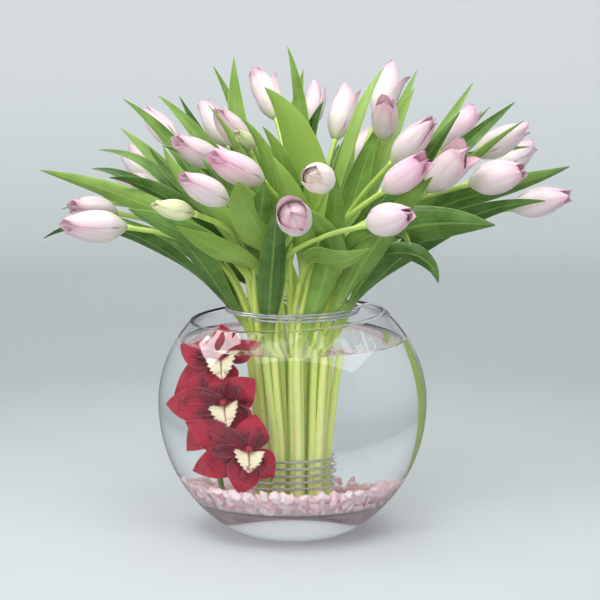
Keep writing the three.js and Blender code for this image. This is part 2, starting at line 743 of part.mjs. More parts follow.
/** A coil of wire; its last part, once it is past the turns, swings out to reach and height. */
class Coil extends THREE.Curve {
  constructor({ radius, low, pitch, turns, start = 0 }, tail = null) {
    super();
    Object.assign(this, { radius, low, pitch, turns, start, tail });
  }

  getPoint(t) {
    const swing = this.tail ? this.tail.share : 0;
    const wound = Math.min(1, t / (1 - swing));
    const out = this.tail ? Math.max(0, (t - 1 + swing) / swing) : 0;
    const angle = this.start + TURN * this.turns * wound + (this.tail ? this.tail.angle * out : 0);
    const point = around(this.radius, angle, this.low + this.pitch * this.turns * wound);
    if (!out) return point;
    const rise = this.tail.arch * Math.sin(Math.PI * out);
    return around(
      THREE.MathUtils.lerp(this.radius, this.tail.radius, out), angle,
      THREE.MathUtils.lerp(point.z, this.tail.height, out) + rise);
  }
}

const lowCoil = (grow = 0) => tube(new Coil(COIL), COIL.wire + grow, 4, Math.round(COIL.turns * COIL.steps));

function rimWire(grow = 0) {
  const angle = 0.25;
  const end = RIM_WIRE.start + TURN * RIM_WIRE.turns + angle;
  const over = rimHeight(end);
  const tail = {
    share: 0.1, angle, radius: outerRadius(over) - 1, arch: 4, height: over + RIM_WIRE.wire + GAP,
  };
  return tube(new Coil(RIM_WIRE, tail), RIM_WIRE.wire + grow, 4, Math.round(RIM_WIRE.turns * RIM_WIRE.steps));
}

/** The room that the bundle and its leaves take up in the water. */
function well(low) {
  const { clear, narrow, widening, sides } = WELL;
  const radiusAt = (z) => COIL.radius + clear + widening * Math.max(0, z - narrow);
  const high = WATER_LEVEL + 1;
  return turned([
    [0, low], [radiusAt(low), low], [radiusAt(narrow), narrow], [radiusAt(high), high], [0, high],
  ], sides);
}

function water() {
  const over = (r) => bedHeight(r) + CHIPS.rough + GAP;
  const low = over(0);
  const high = over(withinGlass(CHIPS.level + CHIPS.rise));
  const dish = [CHIPS.rings[0], CHIPS.rings[2]].map((r) => [r, over(r)]);
  const between = INSIDE.map(([, z]) => z).filter((z) => z > high && z < WATER_LEVEL);
  const side = [high, ...between, WATER_LEVEL].map((z) => [withinGlass(z), z]);
  const body = turned([[0, over(CHIPS.rings[0])], ...dish, ...side, [0, WATER_LEVEL]], VASE.sides);
  const pocket = new THREE.Shape().absellipse(POCKET.x, POCKET.y, POCKET.wide, POCKET.deep, 0, TURN);
  const orchids = solid(new THREE.ExtrudeGeometry(pocket, {
    depth: WATER_LEVEL - low + 2, curveSegments: 6, bevelEnabled: false,
  }).translate(0, 0, low - 1));
  return largest(body.subtract(well(low - 1)).subtract(orchids).subtract(sunkenLeaf(2 * GAP)));
}

/** The leaf sunk in the water, or with a growth the slot that it stands in. */
function sunkenLeaf(grow = 0) {
  const midrib = new THREE.CatmullRomCurve3(SUNKEN_LEAF.route.map((p) => new THREE.Vector3(...p)));
  midrib.points[0].z -= grow;
  return sheet(6, 1, LEAF.thickness + 2 * grow, (u, v) => {
    const forward = midrib.getTangent(u);
    const across = forward.clone().cross(new THREE.Vector3(...SUNKEN_LEAF.facing)).normalize();
    const half = 0.5 * SUNKEN_LEAF.width * (1 - 0.75 * Math.abs(2 * u - 1) ** 3) + grow;
    return {
      point: midrib.getPoint(u).addScaledVector(across, v * half),
      normal: forward.clone().cross(across),
    };
  });
}

function orchidPlacement({ middle, face }) {
  const turn = new THREE.Quaternion().setFromUnitVectors(UP, face);
  return new THREE.Matrix4().compose(middle, turn, new THREE.Vector3(1, 1, 1));
}

/** Five petals cupped round a small heart, facing +Z. */
function orchid(flower) {
  const petals = flower.petals.map(({ angle, length }) => {
    const out = around(1, angle, 0);
    const across = around(1, angle + Math.PI / 2, 0);
    return sheet(3, 1, ORCHID.thickness, (u, v) => {
      const half = 0.5 * ORCHID.width * (0.14 + 0.86 * Math.sin(Math.PI * 0.94 * u) ** 0.9);
      const point = out.clone().multiplyScalar(3 + (length - 3) * u)
        .addScaledVector(across, v * half).setZ(ORCHID.cup * (u ** 2 - 0.4));
      return { point, normal: UP };
    });
  });
  return union([solid(new THREE.IcosahedronGeometry(ORCHID.heart, 0)), ...petals]);
}

/** The lip: a tongue that stands out from the front of the heart and curls down. */
function orchidLip() {
  const bend = ORCHID.turned * ORCHID.lip;
  return sheet(3, 2, ORCHID.thickness, (u, v) => {
    const half = 0.5 * ORCHID.lipWidth * (0.45 + 0.55 * Math.sin(Math.PI * Math.min(1, 0.1 + u) ** 1.5));
    const angle = 1.9 * u;
    const point = new THREE.Vector3(
      v * half, -bend * (1 - Math.cos(angle)), 0.85 * ORCHID.heart + 0.9 + bend * Math.sin(angle));
    point.z += 2 * v * v * u * (1 - u);
    return { point, normal: new THREE.Vector3(0, Math.cos(angle), Math.sin(angle)) };
  });
}

const spikeRoute = () => new THREE.CatmullRomCurve3(SPIKE.route.map((p) => new THREE.Vector3(...p)));

/** The plain hole in the bed that the spike stands in. */
function spikeHole() {
  const [foot, above] = spikeRoute().getSpacedPoints(SPIKE.steps);
  const deeper = foot.clone().sub(above).setLength(GAP).add(foot);
  return tube(new THREE.LineCurve3(deeper, above), SPIKE.radius + 2 * GAP, 8, 1);
}

/** The green spike, with a short stalk to the back of each flower. */
function spike() {
  const route = spikeRoute();
  const stalks = ORCHIDS.map(({ middle, face }, i) => {
    const end = middle.clone().addScaledVector(face, -ORCHID.heart - GAP);
    return tube(new THREE.LineCurve3(route.getPoint(0.98 - 0.34 * i), end), SPIKE.pedicel, 5, 1);
  });
  return union([tube(route, SPIKE.radius, 5, SPIKE.steps), ...stalks]);
}

// ------------------------------------------------------------------ assembly

const BLUSH = { color: '#f1dde4', roughness: 0.55 };
const GREEN = { color: '#6f9a45', roughness: 0.5 };
const CLEAR = { color: '#f2f7f7', roughness: 0.02, opacity: 0.25 };
const SILVER = { color: '#c9ccd0', roughness: 0.2, metalness: 1 };
const CRIMSON = { color: '#8c1230', roughness: 0.5 };
const CREAM = { color: '#efe0c8', roughness: 0.5 };

const bouquet = new THREE.Group();
const groups = standing();
bendStems(groups);
const leaves = growLeaves();

bouquet.add(mesh('vase', vase(), CLEAR));
bouquet.add(mesh('water', water(), CLEAR));
bouquet.add(mesh('quartz_bed', chips(), { color: '#eec3c6', roughness: 0.3 }));
bouquet.add(mesh('low_coil', lowCoil(), SILVER));
bouquet.add(mesh('rim_wire', rimWire(), SILVER));
bouquet.add(mesh('sunken_leaf', sunkenLeaf(), GREEN));
bouquet.add(mesh('orchid_spike', spike(), GREEN));
ORCHIDS.forEach((flower, i) => {
  const petals = mesh(`orchid_petals_${i + 1}`, orchid(flower), CRIMSON);
  const lip = mesh(`orchid_lip_${i + 1}`, orchidLip(), CREAM);
  petals.applyMatrix4(orchidPlacement(flower));
  lip.applyMatrix4(orchidPlacement(flower));
  bouquet.add(petals, lip);
});
TULIPS.forEach((tulip, i) => {
  const petals = mesh(`bloom_${String(i + 1).padStart(2, '0')}`, bloom(tulip), BLUSH);
  petals.applyMatrix4(placement(tulip));
  bouquet.add(petals);
});

const rooms = union(TULIPS.map(bloomRoom));
const wires = union([lowCoil(GAP), rimWire(GAP)]);
groups.forEach((members, g) => {
  const stemOf = (tulip, grow) => tube(tulip.path, STEM.radius + grow, STEM.sides, STEM.bends + 2);
  const own = leaves.filter((leaf) => members.includes(leaf.stem));
  const earlier = leaves.filter((leaf) => groups.slice(0, g).flat().includes(leaf.stem));
  const rivals = TULIPS.filter((tulip) => !members.includes(tulip));
  const body = union([...members.map((tulip) => stemOf(tulip, 0)), ...own.map((leaf) => blade(leaf))]);
  const room = union([
    ...rivals.map((tulip) => stemOf(tulip, 1.25 * GAP)),
    ...earlier.map((leaf) => blade(leaf, GAP)),
  ]);
  const cut = body.subtract(room).subtract(rooms).subtract(wires);
  bouquet.add(mesh(`leafy_stems_${String(g + 1).padStart(2, '0')}`, largest(cut), GREEN));
});

export default bouquet;
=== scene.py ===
"""Pale pink tulips in a fishbowl vase of clear glass, with a floor, soft lights and a camera.

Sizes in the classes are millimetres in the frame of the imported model: +Z up, the front towards
-Y and the origin at the centre of the vase's base. Meshes are made in metres.
"""

import logging
import math
from dataclasses import dataclass, field
from enum import Enum
from functools import cached_property
from typing import Any, Callable, Iterator, Sequence

import bmesh
import bpy
import numpy as np
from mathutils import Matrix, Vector


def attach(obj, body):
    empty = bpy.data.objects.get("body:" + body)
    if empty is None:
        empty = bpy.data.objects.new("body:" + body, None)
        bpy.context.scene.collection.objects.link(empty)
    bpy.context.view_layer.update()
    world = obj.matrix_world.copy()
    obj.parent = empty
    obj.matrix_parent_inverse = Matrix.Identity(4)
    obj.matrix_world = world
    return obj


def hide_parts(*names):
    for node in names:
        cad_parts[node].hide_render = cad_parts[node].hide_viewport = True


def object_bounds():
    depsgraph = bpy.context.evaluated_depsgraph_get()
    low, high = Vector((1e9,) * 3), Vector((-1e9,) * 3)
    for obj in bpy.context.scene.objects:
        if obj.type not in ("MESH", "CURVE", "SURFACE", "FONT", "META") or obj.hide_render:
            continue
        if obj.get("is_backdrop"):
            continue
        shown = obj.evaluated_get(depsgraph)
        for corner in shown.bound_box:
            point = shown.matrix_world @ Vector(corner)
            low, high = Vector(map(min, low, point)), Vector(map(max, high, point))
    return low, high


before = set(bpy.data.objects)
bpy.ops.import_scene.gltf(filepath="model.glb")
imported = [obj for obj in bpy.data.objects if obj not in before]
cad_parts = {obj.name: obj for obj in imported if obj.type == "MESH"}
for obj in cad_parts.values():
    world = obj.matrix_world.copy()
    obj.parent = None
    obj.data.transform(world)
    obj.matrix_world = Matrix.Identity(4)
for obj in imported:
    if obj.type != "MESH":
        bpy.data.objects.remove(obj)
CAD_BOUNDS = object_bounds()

MM = 0.001
TURN = 2 * math.pi
UP = np.array([0.0, 0.0, 1.0])
BACK = np.array([0.0, 1.0, 0.0])

Array = np.ndarray
Triple = tuple[float, float, float]
Colour = tuple[float, float, float, float]
Surface = Callable[[Array, Array], Array]
Inputs = dict[Any, Any]
Draws = Iterator[float]
Stone = tuple[Array, list[list[int]]]
Material = bpy.types.Material
NodeTree = bpy.types.NodeTree

log = logging.getLogger("tulips")


# ---- numbers and curves


def smooth(x: Any) -> Any:
    """A smooth step from 0 to 1 as x runs from 0 to 1."""
    x = np.clip(x, 0.0, 1.0)
    return x * x * (3 - 2 * x)


def unit(v: Array) -> Array:
    """The vectors in v, each at length 1."""
    return v / np.maximum(np.linalg.norm(v, axis=-1, keepdims=True), 1e-12)


def around(radius: Any, angle: Any, z: Any) -> Array:
    """Points at a radius and an angle about Z."""
    radius, angle, z = np.broadcast_arrays(radius, angle, z)
    return np.stack([radius * np.cos(angle), radius * np.sin(angle), z], axis=-1).astype(float)


def azimuth(p: Array) -> float:
    """The angle of a point about Z."""
    return math.atan2(p[1], p[0])


def draws(seed: int) -> Draws:
    """Seeded numbers between 0 and 1, without end."""
    state = seed
    while True:
        state = (state * 1664525 + 1013904223) % 4294967296
        yield state / 4294967296


class Spline:
    """A Catmull-Rom curve through points, each stretch timed by the root of its length."""

    def __init__(self, points: Sequence[Array]) -> None:
        """Keeps the points, with one more beyond each end."""
        inner = [np.asarray(p, float) for p in points]
        self.points = inner
        self.padded = np.array([2 * inner[0] - inner[1], *inner, 2 * inner[-1] - inner[-2]])

    def at(self, t: Any) -> Array:
        """Points on the curve.

        Args:
            t: from 0 at the first point to 1 at the last, with equal shares for each stretch.

        Returns:
            One point, or a row of them for a row of t.
        """
        t = np.asarray(t, float)
        last = len(self.points) - 2
        stretch = np.minimum(np.floor(t * (last + 1)).astype(int), last)
        w = (t * (last + 1) - stretch)[..., None]
        p0, p1, p2, p3 = (self.padded[stretch + k] for k in range(4))
        d0, d1, d2 = (np.linalg.norm(b - a, axis=-1, keepdims=True) ** 0.5
                      for a, b in ((p0, p1), (p1, p2), (p2, p3)))
        start = ((p1 - p0) / d0 - (p2 - p0) / (d0 + d1) + (p2 - p1) / d1) * d1
        end = ((p2 - p1) / d1 - (p3 - p1) / (d1 + d2) + (p3 - p2) / d2) * d1
        c2 = 3 * (p2 - p1) - 2 * start - end
        c3 = 2 * (p1 - p2) + start + end
        return p1 + w * (start + w * (c2 + w * c3))


@dataclass(frozen=True)
class Bezier:
    """A cubic curve from a to d."""

    a: Array
    b: Array
    c: Array
    d: Array

    def at(self, t: Any) -> Array:
        """Points on the curve at t from 0 to 1."""
        t = np.asarray(t, float)[..., None]
        s = 1 - t
        return s**3 * self.a + 3 * s * s * t * self.b + 3 * s * t * t * self.c + t**3 * self.d

    def heading(self, t: Any) -> Array:
        """The way the curve runs at t."""
        t = np.clip(np.asarray(t, float), 1e-4, 1 - 1e-4)[..., None]
        s = 1 - t
        early, late = s * s * (self.b - self.a), t * t * (self.d - self.c)
        return unit(early + 2 * s * t * (self.c - self.b) + late)


def turned_about(v: Array, axis: Array, angle: Any) -> Array:
    """Vectors turned about their axes by an angle."""
    angle = np.asarray(angle, float)[..., None]
    along = np.sum(v * axis, axis=-1, keepdims=True) * axis
    return v * np.cos(angle) + np.cross(axis, v) * np.sin(angle) + along * (1 - np.cos(angle))


def turn_up_to(direction: Array) -> Array:
    """The matrix of the shortest turn that brings +Z to a direction."""
    turn = Vector((0, 0, 1)).rotation_difference(Vector(direction))
    return np.array(turn.to_matrix())


def beyond(u: Array, start: float) -> Array:
    """0 up to a place along a part, then rising to 1 at the part's end."""
    return np.maximum(u - start, 0) / (1 - start)


def bell(x: Array, width: float) -> Array:
    """1 where x is 0, falling away to either side over about a width."""
    return np.exp(-((x / width) ** 2))


def crease(u: Array, v: Array, depth: float, width: float, foot: float, tip: float) -> Array:
    """How deep the fold down the middle of a blade is.

    Args:
        u: places along the blade, from 0 to 1.
        v: places across it, from -1 to 1.
        depth: its depth in the middle.
        width: how wide it is.
        foot: the stretch at the blade's foot over which it sets in.
        tip: the stretch at the blade's tip over which it runs out.

    Returns:
        Its depth at each place.
    """
    return depth * bell(v, width) * smooth(u / foot) * smooth((1 - u) / tip)


def tight_ends(count: int) -> Array:
    """Stations from -1 to 1 that crowd towards both ends."""
    return np.sin(np.linspace(-0.5, 0.5, count + 1) * math.pi)


# ---- meshes


class Shape:
    """The points and faces of one piece, gathered part by part."""

    def __init__(self) -> None:
        """Starts with nothing in it."""
        self.points: list[Array] = []
        self.faces: list[list[int]] = []
        self.places: list[Array] = []
        self.tones: list[Array] = []
        self.skins: list[int] = []
        self.count = 0

    def add(self, points: Array, faces: Sequence[Sequence[int]], places: Array | None = None,
            tone: float = 0.0, skin: int = 0) -> None:
        """Adds a part.

        Args:
            points: rows of x, y, z in millimetres.
            faces: rows of indices into the points.
            places: for each point, how far across and along its part it lies, from 0 to 1.
            tone: a number that the finishes read, to tell one part from the next.
            skin: which of the piece's finishes the part wears.
        """
        points = np.asarray(points, float).reshape(-1, 3)
        self.points.append(points)
        self.faces.extend([[i + self.count for i in face] for face in faces])
        self.places.append(np.zeros((len(points), 2)) if places is None else places)
        self.tones.append(np.full(len(points), tone))
        self.skins.extend([skin] * len(faces))
        self.count += len(points)

    def placed(self, turn: Array, origin: Array) -> None:
        """Turns all that it holds by a matrix, then moves it to an origin."""
        self.points = [p @ turn.T + origin for p in self.points]

    def made(self, name: str, finishes: list[Material],
             flat: bool = False) -> bpy.types.Object:
        """Makes the object.

        Args:
            name: its name.
            finishes: its materials.
            flat: whether its facets stay sharp.

        Returns:
            The new object.
        """
        mesh = bpy.data.meshes.new(name)
        mesh.from_pydata((np.concatenate(self.points) * MM).tolist(), [], self.faces)
        mesh.polygons.foreach_set("material_index", self.skins)
        mesh.polygons.foreach_set("use_smooth", [not flat] * len(mesh.polygons))
        corners = np.empty(len(mesh.loops), dtype=np.int32)
        mesh.loops.foreach_get("vertex_index", corners)
        mesh.uv_layers.new(name="place").uv.foreach_set(
            "vector", np.concatenate(self.places)[corners].astype(np.float32).ravel())
        mesh.attributes.new("tone", "FLOAT", "POINT").data.foreach_set(
            "value", np.concatenate(self.tones).astype(np.float32))
        for finish in finishes:
            mesh.materials.append(finish)
        mesh.update()
        made = bpy.data.objects.new(name, mesh)
        bpy.context.scene.collection.objects.link(made)
        return made

    def piece(self, name: str, finishes: list[Material], node: str, slot: str,
              flat: bool = False) -> None:
        """Makes the object, on the body of the model and in place of one of its nodes.

        Args:
            name: the object's name.
            finishes: its materials.
            node: the node of the model that it stands for.
            slot: the material slot of the record; not used.
            flat: whether its facets stay sharp.
        """
        piece = self.made(name, finishes, flat)
        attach(piece, "root")
        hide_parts(node)
        log.info("%s: %d faces for %s", name, len(piece.data.polygons), node)


@dataclass(frozen=True)
class Sheet:
    """A thin closed blade: a grid on either face, drawn together at its margins."""

    rows: int
    columns: int
    thickness: float
    margin: float
    crowded: float = 0.25

    def add_to(self, shape: Shape, surface: Surface, tone: float = 0.0) -> None:
        """Adds the blade to a shape.

        Args:
            shape: where it goes.
            surface: gives points for u from the root (0) to the tip (1) and v across (-1 to 1).
            tone: the tone of its points.
        """
        even = np.linspace(0, 1, self.rows + 1) - 0.5
        along = 0.5 + 0.5 * tight_ends(self.rows) * self.crowded + (1 - self.crowded) * even
        u, v = np.meshgrid(along, tight_ends(self.columns), indexing="ij")
        middle = surface(u, v)
        normal = unit(np.cross(np.gradient(middle, axis=0), np.gradient(middle, axis=1)))
        thickness = self.thickness * (self.margin + (1 - self.margin) * (1 - v**4))[..., None]
        faces_of = [middle + 0.5 * thickness * normal, middle - 0.5 * thickness * normal]
        places = np.stack([0.5 + 0.5 * v, u], axis=-1).reshape(-1, 2)
        width = self.columns + 1
        below = (self.rows + 1) * width
        grid = np.arange(below).reshape(self.rows + 1, width)
        corners = (grid[:-1, :-1], grid[1:, :-1], grid[1:, 1:], grid[:-1, 1:])
        a, b, c, d = (corner.ravel() for corner in corners)
        faces = np.concatenate([np.stack([a, b, c, d], 1), np.stack([a, d, c, b], 1) + below])
        rim = np.concatenate([grid[:, 0][::-1], grid[0, 1:], grid[1:, -1], grid[-1, -2:0:-1]])
        rim = np.append(rim, grid[-1, 0])
        ring = np.stack([rim[1:], rim[1:] + below, rim[:-1] + below, rim[:-1]], 1)
        points = np.concatenate([f.reshape(-1, 3) for f in faces_of])
        shape.add(points, np.concatenate([faces, ring]).tolist(), np.tile(places, (2, 1)), tone)


def rounds(count: int, sides: int) -> tuple[Array, Array, Array]:
    """The points of rings in a row.

    Args:
        count: how many rings.
        sides: how many points in each.

    Returns:
        The points' angles and indices, and for each the index of its ring's next point.
    """
    grid = np.arange(count * sides).reshape(count, sides)
    return np.arange(sides) * TURN / sides, grid, np.roll(grid, -1, axis=1)


def add_tube(shape: Shape, path: Array, radius: Any, sides: int, tone: float = 0.0, skin: int = 0,
             flatten: float = 0.0) -> None:
    """Adds a closed tube along a row of points.

    Args:
        shape: where it goes.
        path: the points of its axis.
        radius: one radius, or one for each point.
        sides: how many sides its section has.
        tone: the tone of its points.
        skin: its finish.
        flatten: how much narrower the section is one way than the other.
    """
    nearly_along_x = 0.8
    radius = np.broadcast_to(radius, len(path)).astype(float)
    forward = unit(np.gradient(path, axis=0))
    side = np.empty_like(path)
    guess = np.array([1.0, 0, 0]) if abs(forward[0][0]) < nearly_along_x else BACK
    for i, ahead in enumerate(forward):
        guess = unit(guess - ahead * (guess @ ahead))
        side[i] = guess
    other = np.cross(forward, side)
    angle, grid, after = rounds(len(path), sides)
    ring = side[:, None] * np.cos(angle)[None, :, None]
    ring = ring + other[:, None] * (np.sin(angle) * (1 - flatten))[None, :, None]
    points = path[:, None] + radius[:, None, None] * ring
    quads = np.stack([grid[:-1], after[:-1], after[1:], grid[1:]], -1).reshape(-1, 4).tolist()
    quads.append(grid[0][::-1].tolist())
    quads.append(grid[-1].tolist())
    share = np.linspace(0, 1, len(path))
    places = np.stack(np.broadcast_arrays(0.5 + 0.5 * np.cos(angle)[None], share[:, None]), -1)
    shape.add(points, quads, places.reshape(-1, 2), tone, skin)


def add_lathe(shape: Shape, profile: Array, sides: int, skins: Callable[[Array], int] | None = None,
              tone: float = 0.0) -> None:
    """Adds a body of revolution about Z.

    Args:
        shape: where it goes.
        profile: rows of radius and height, from the axis out and back to it, anticlockwise.
        sides: how many sides it has.
        skins: gives the finish of a band from the middle of its profile.
        tone: the tone of its points.
    """
    count = len(profile) - 2
    angle, grid, after = rounds(count, sides)
    rings = around(profile[1:-1, 0][:, None], angle[None], profile[1:-1, 1][:, None])
    poles = np.array([[0, 0, profile[0, 1]], [0, 0, profile[-1, 1]]])
    points = np.concatenate([rings.reshape(-1, 3), poles])
    quads = np.stack([grid[:-1], after[:-1], after[1:], grid[1:]], -1).reshape(-1, 4).tolist()
    first = [[count * sides, b, a] for a, b in zip(grid[0].tolist(), after[0].tolist())]
    last = [[count * sides + 1, a, b] for a, b in zip(grid[-1].tolist(), after[-1].tolist())]
    which = skins or (lambda middle: 0)
    start = len(shape.skins)
    shape.add(points, first + quads + last, tone=tone)
    middles = (profile[:-1] + profile[1:]) / 2
    shape.skins[start:] = [which(m) for m in middles for _ in range(sides)]


# ---- effects shared by the finishes


def srgb(red: float, green: float, blue: float) -> Colour:
    """A colour of 0 to 255 a channel, as the amounts of light that the shaders use."""
    def light(c: float) -> float:
        """The amount of light of one channel."""
        c /= 255
        return c / 12.92 if c <= 0.04045 else ((c + 0.055) / 1.055) ** 2.4
    return (light(red), light(green), light(blue), 1.0)


class Tree:
    """A node tree, with short ways to add and join its nodes."""

    def __init__(self, tree: NodeTree) -> None:
        """Keeps the tree."""
        self.tree = tree

    def feed(self, node: bpy.types.Node, inputs: Inputs) -> None:
        """Sets each of a node's inputs to a value, or joins it to another node's output."""
        for key, value in inputs.items():
            if isinstance(value, bpy.types.NodeSocket):
                self.tree.links.new(value, node.inputs[key])
            else:
                node.inputs[key].default_value = value

    def add(self, kind: str, inputs: Inputs | None = None,
            **settings: Any) -> bpy.types.Node:
        """Adds a node.

        Args:
            kind: its type, without the leading ShaderNode.
            inputs: a value or another node's output for each of its inputs.
            settings: the node's own options.

        Returns:
            The node.
        """
        node = self.tree.nodes.new("ShaderNode" + kind)
        for key, value in settings.items():
            setattr(node, key, value)
        self.feed(node, inputs or {})
        return node

    def math(self, operation: str, a: Any, b: Any = 0.0, c: Any = 0.0) -> Any:
        """The result of a sum on numbers."""
        return self.add("Math", {0: a, 1: b, 2: c}, operation=operation).outputs[0]

    def times(self, a: Any, b: Any) -> Any:
        """One number or mask times another."""
        return self.math("MULTIPLY", a, b)

    def spread(self, mask: Any, more: Any, least: Any) -> Any:
        """A number that goes from least, where a mask is 0, up by as much more where it is 1."""
        return self.math("MULTIPLY_ADD", mask, more, least)

    def mix(self, share: Any, a: Any, b: Any) -> Any:
        """Colour a, giving way to colour b by a share."""
        return self.add("Mix", {0: share, 6: a, 7: b}, data_type="RGBA").outputs[2]

    def ease(self, value: Any, low: Any, high: Any, least: float = 0.0, most: float = 1.0) -> Any:
        """A smooth step from least to most as a value goes from low to high."""
        return self.add("MapRange", {0: value, 1: low, 2: high, 3: least, 4: most},
                        interpolation_type="SMOOTHSTEP").outputs[0]

    def parts(self, vector: Any) -> Any:
        """The three numbers of a place."""
        return self.add("SeparateXYZ", {0: vector}).outputs


def effect_group(name: str, out: str, build: Callable[[Tree, Any], Any],
                 **sockets: str) -> NodeTree:
    """Makes the node group of an effect, or finds it if it is there.

    Args:
        name: its name.
        out: the name of what it puts out.
        build: adds its nodes, and returns the socket that it puts out.
        sockets: the kind of each of its inputs.

    Returns:
        The group.
    """
    if name in bpy.data.node_groups:
        return bpy.data.node_groups[name]
    group = bpy.data.node_groups.new(name, "ShaderNodeTree")
    for socket, kind in sockets.items():
        group.interface.new_socket(name=socket, in_out="INPUT", socket_type="NodeSocket" + kind)
    group.interface.new_socket(name=out, in_out="OUTPUT", socket_type="NodeSocketFloat")
    tree = Tree(group)
    entry = group.nodes.new("NodeGroupInput").outputs
    result = group.nodes.new("NodeGroupOutput")
    group.links.new(build(tree, entry), result.inputs[0])
    return group


def streaks() -> NodeTree:
    """Fine lines that run the length of a part, as the veins of a petal or a leaf do."""
    apart = 31.7
    faint, strong = 0.32, 0.68

    def build(tree: Tree, entry: Any) -> Any:
        """Adds the nodes: a noise drawn out along the part, and shifted by its tone."""
        place = tree.parts(entry["Place"])
        across = tree.times(place[0], entry["Count"])
        along = tree.times(place[1], entry["Along"])
        at = tree.add("CombineXYZ", {0: across, 1: along, 2: tree.times(entry["Tone"], apart)})
        noise = tree.add("TexNoise", {"Vector": at.outputs[0], "Scale": 1.0, "Detail": 3.0})
        return tree.ease(noise.outputs[0], faint, strong)
    return effect_group("lengthwise_streaks", "Mask", build, Place="Vector", Count="Float",
                        Along="Float", Tone="Float")


def mottle() -> NodeTree:
    """Soft clouds, as on skin, stone and polished metal."""
    apart = 3.1
    faint, strong = 0.3, 0.7

    def build(tree: Tree, entry: Any) -> Any:
        """Adds the nodes: a noise in the model's space, shifted by the part's tone."""
        shift = tree.times(entry["Tone"], apart)
        at = tree.add("VectorMath", {0: entry["Spot"], 1: shift}, operation="ADD").outputs[0]
        scale = tree.math("DIVIDE", 1.0, entry["Size"])
        noise = tree.add("TexNoise", {"Vector": at, "Scale": scale, "Detail": 4.0, "Roughness": 0.6})
        return tree.ease(noise.outputs[0], faint, strong)
    return effect_group("soft_mottle", "Mask", build, Spot="Vector", Size="Float", Tone="Float")


def aside(tree: Tree, entry: Any) -> Any:
    """How far a point lies from the middle line of its part, to either side."""
    return tree.math("ABSOLUTE", tree.math("SUBTRACT", tree.parts(entry["Place"])[0], 0.5))


def midline() -> NodeTree:
    """A line down the middle of a part, fading to either side."""
    return effect_group(
        "middle_line", "Mask", Place="Vector", Width="Float",
        build=lambda tree, entry: tree.ease(aside(tree, entry), 0.0, entry["Width"], 1.0, 0.0))


def margins() -> NodeTree:
    """The two long edges of a part, fading inwards."""
    return effect_group(
        "long_margins", "Mask", Place="Vector", Width="Float",
        build=lambda tree, entry: tree.ease(
            aside(tree, entry), tree.math("SUBTRACT", 0.5, entry["Width"]), 0.5))


def along_part() -> NodeTree:
    """From 0 to 1 between two places along a part."""
    return effect_group(
        "along_part", "Share", Place="Vector", From="Float", To="Float",
        build=lambda tree, entry: tree.ease(
            tree.parts(entry["Place"])[1], entry["From"], entry["To"]))


class Coat(Tree):
    """The node tree of a material, with the effects that its finish may call for."""

    @cached_property
    def place(self) -> Any:
        """How far across (x) and along (y) its part a point lies."""
        return self.add("UVMap", uv_map="place").outputs[0]

    @cached_property
    def tone(self) -> Any:
        """The number that tells one part of a piece from the next."""
        return self.add("Attribute", attribute_name="tone").outputs["Fac"]

    @cached_property
    def spot(self) -> Any:
        """A point's place in the model."""
        return self.add("TexCoord").outputs["Object"]

    def layers(self, colour: Any, *layers: tuple[Any, Any, float]) -> Any:
        """A colour with others laid over it in turn.

        Args:
            colour: what lies undermost.
            layers: the colour of each, its mask, and the share of the mask that it takes.

        Returns:
            The colour that shows.
        """
        for over, mask, share in layers:
            colour = self.mix(self.times(mask, share), colour, over)
        return colour

    def effect(self, group: NodeTree, **inputs: Any) -> Any:
        """What an effect puts out, with the values that this finish gives it."""
        return self.add("Group", inputs, node_tree=group).outputs[0]

    def veins(self, count: float, along: float) -> Any:
        """Fine lines: how many stand side by side, and how often they break off along a part."""
        return self.effect(streaks(), Place=self.place, Count=count, Along=along, Tone=self.tone)

    def clouds(self, size: float, tone: float | None = None) -> Any:
        """Soft clouds of a size in metres, shifted by the part's own tone or by a fixed one."""
        tone = self.tone if tone is None else tone
        return self.effect(mottle(), Spot=self.spot, Size=size, Tone=tone)

    def rib(self, width: float) -> Any:
        """The middle line of a part."""
        return self.effect(midline(), Place=self.place, Width=width)

    def edge(self, width: float) -> Any:
        """The two long margins of a part."""
        return self.effect(margins(), Place=self.place, Width=width)

    def run(self, start: float, end: float) -> Any:
        """0 at one place along a part, rising to 1 at another."""
        return self.effect(along_part(), Place=self.place, From=start, To=end)

    def bump(self, height: Any, depth: float) -> Any:
        """The normal of a surface that is raised by a height, to a depth in millimetres."""
        inputs = {"Height": height, "Distance": depth * MM, "Strength": 1.0}
        return self.add("Bump", inputs).outputs[0]


# ---- finishes


def flesh(weight: float, reach: Triple, depth: float) -> Inputs:
    """The inputs that let light a little way into a surface.

    Args:
        weight: the share of the light that goes in.
        reach: how far each channel gets, against the others.
        depth: how deep it goes, in millimetres.

    Returns:
        The shader's inputs and their values.
    """
    return {"Subsurface Weight": weight, "Subsurface Radius": reach, "Subsurface Scale": depth * MM}


@dataclass(frozen=True)
class Finish:
    """A material: what all finishes have in common."""

    name: str

    def make(self) -> Material:
        """Makes the material."""
        material = bpy.data.materials.new(self.name)
        material.use_nodes = True
        coat = Coat(material.node_tree)
        coat.feed(material.node_tree.nodes["Principled BSDF"], self.paint(coat))
        return material

    def paint(self, coat: Coat) -> Inputs:
        """What feeds the shader."""
        return {}


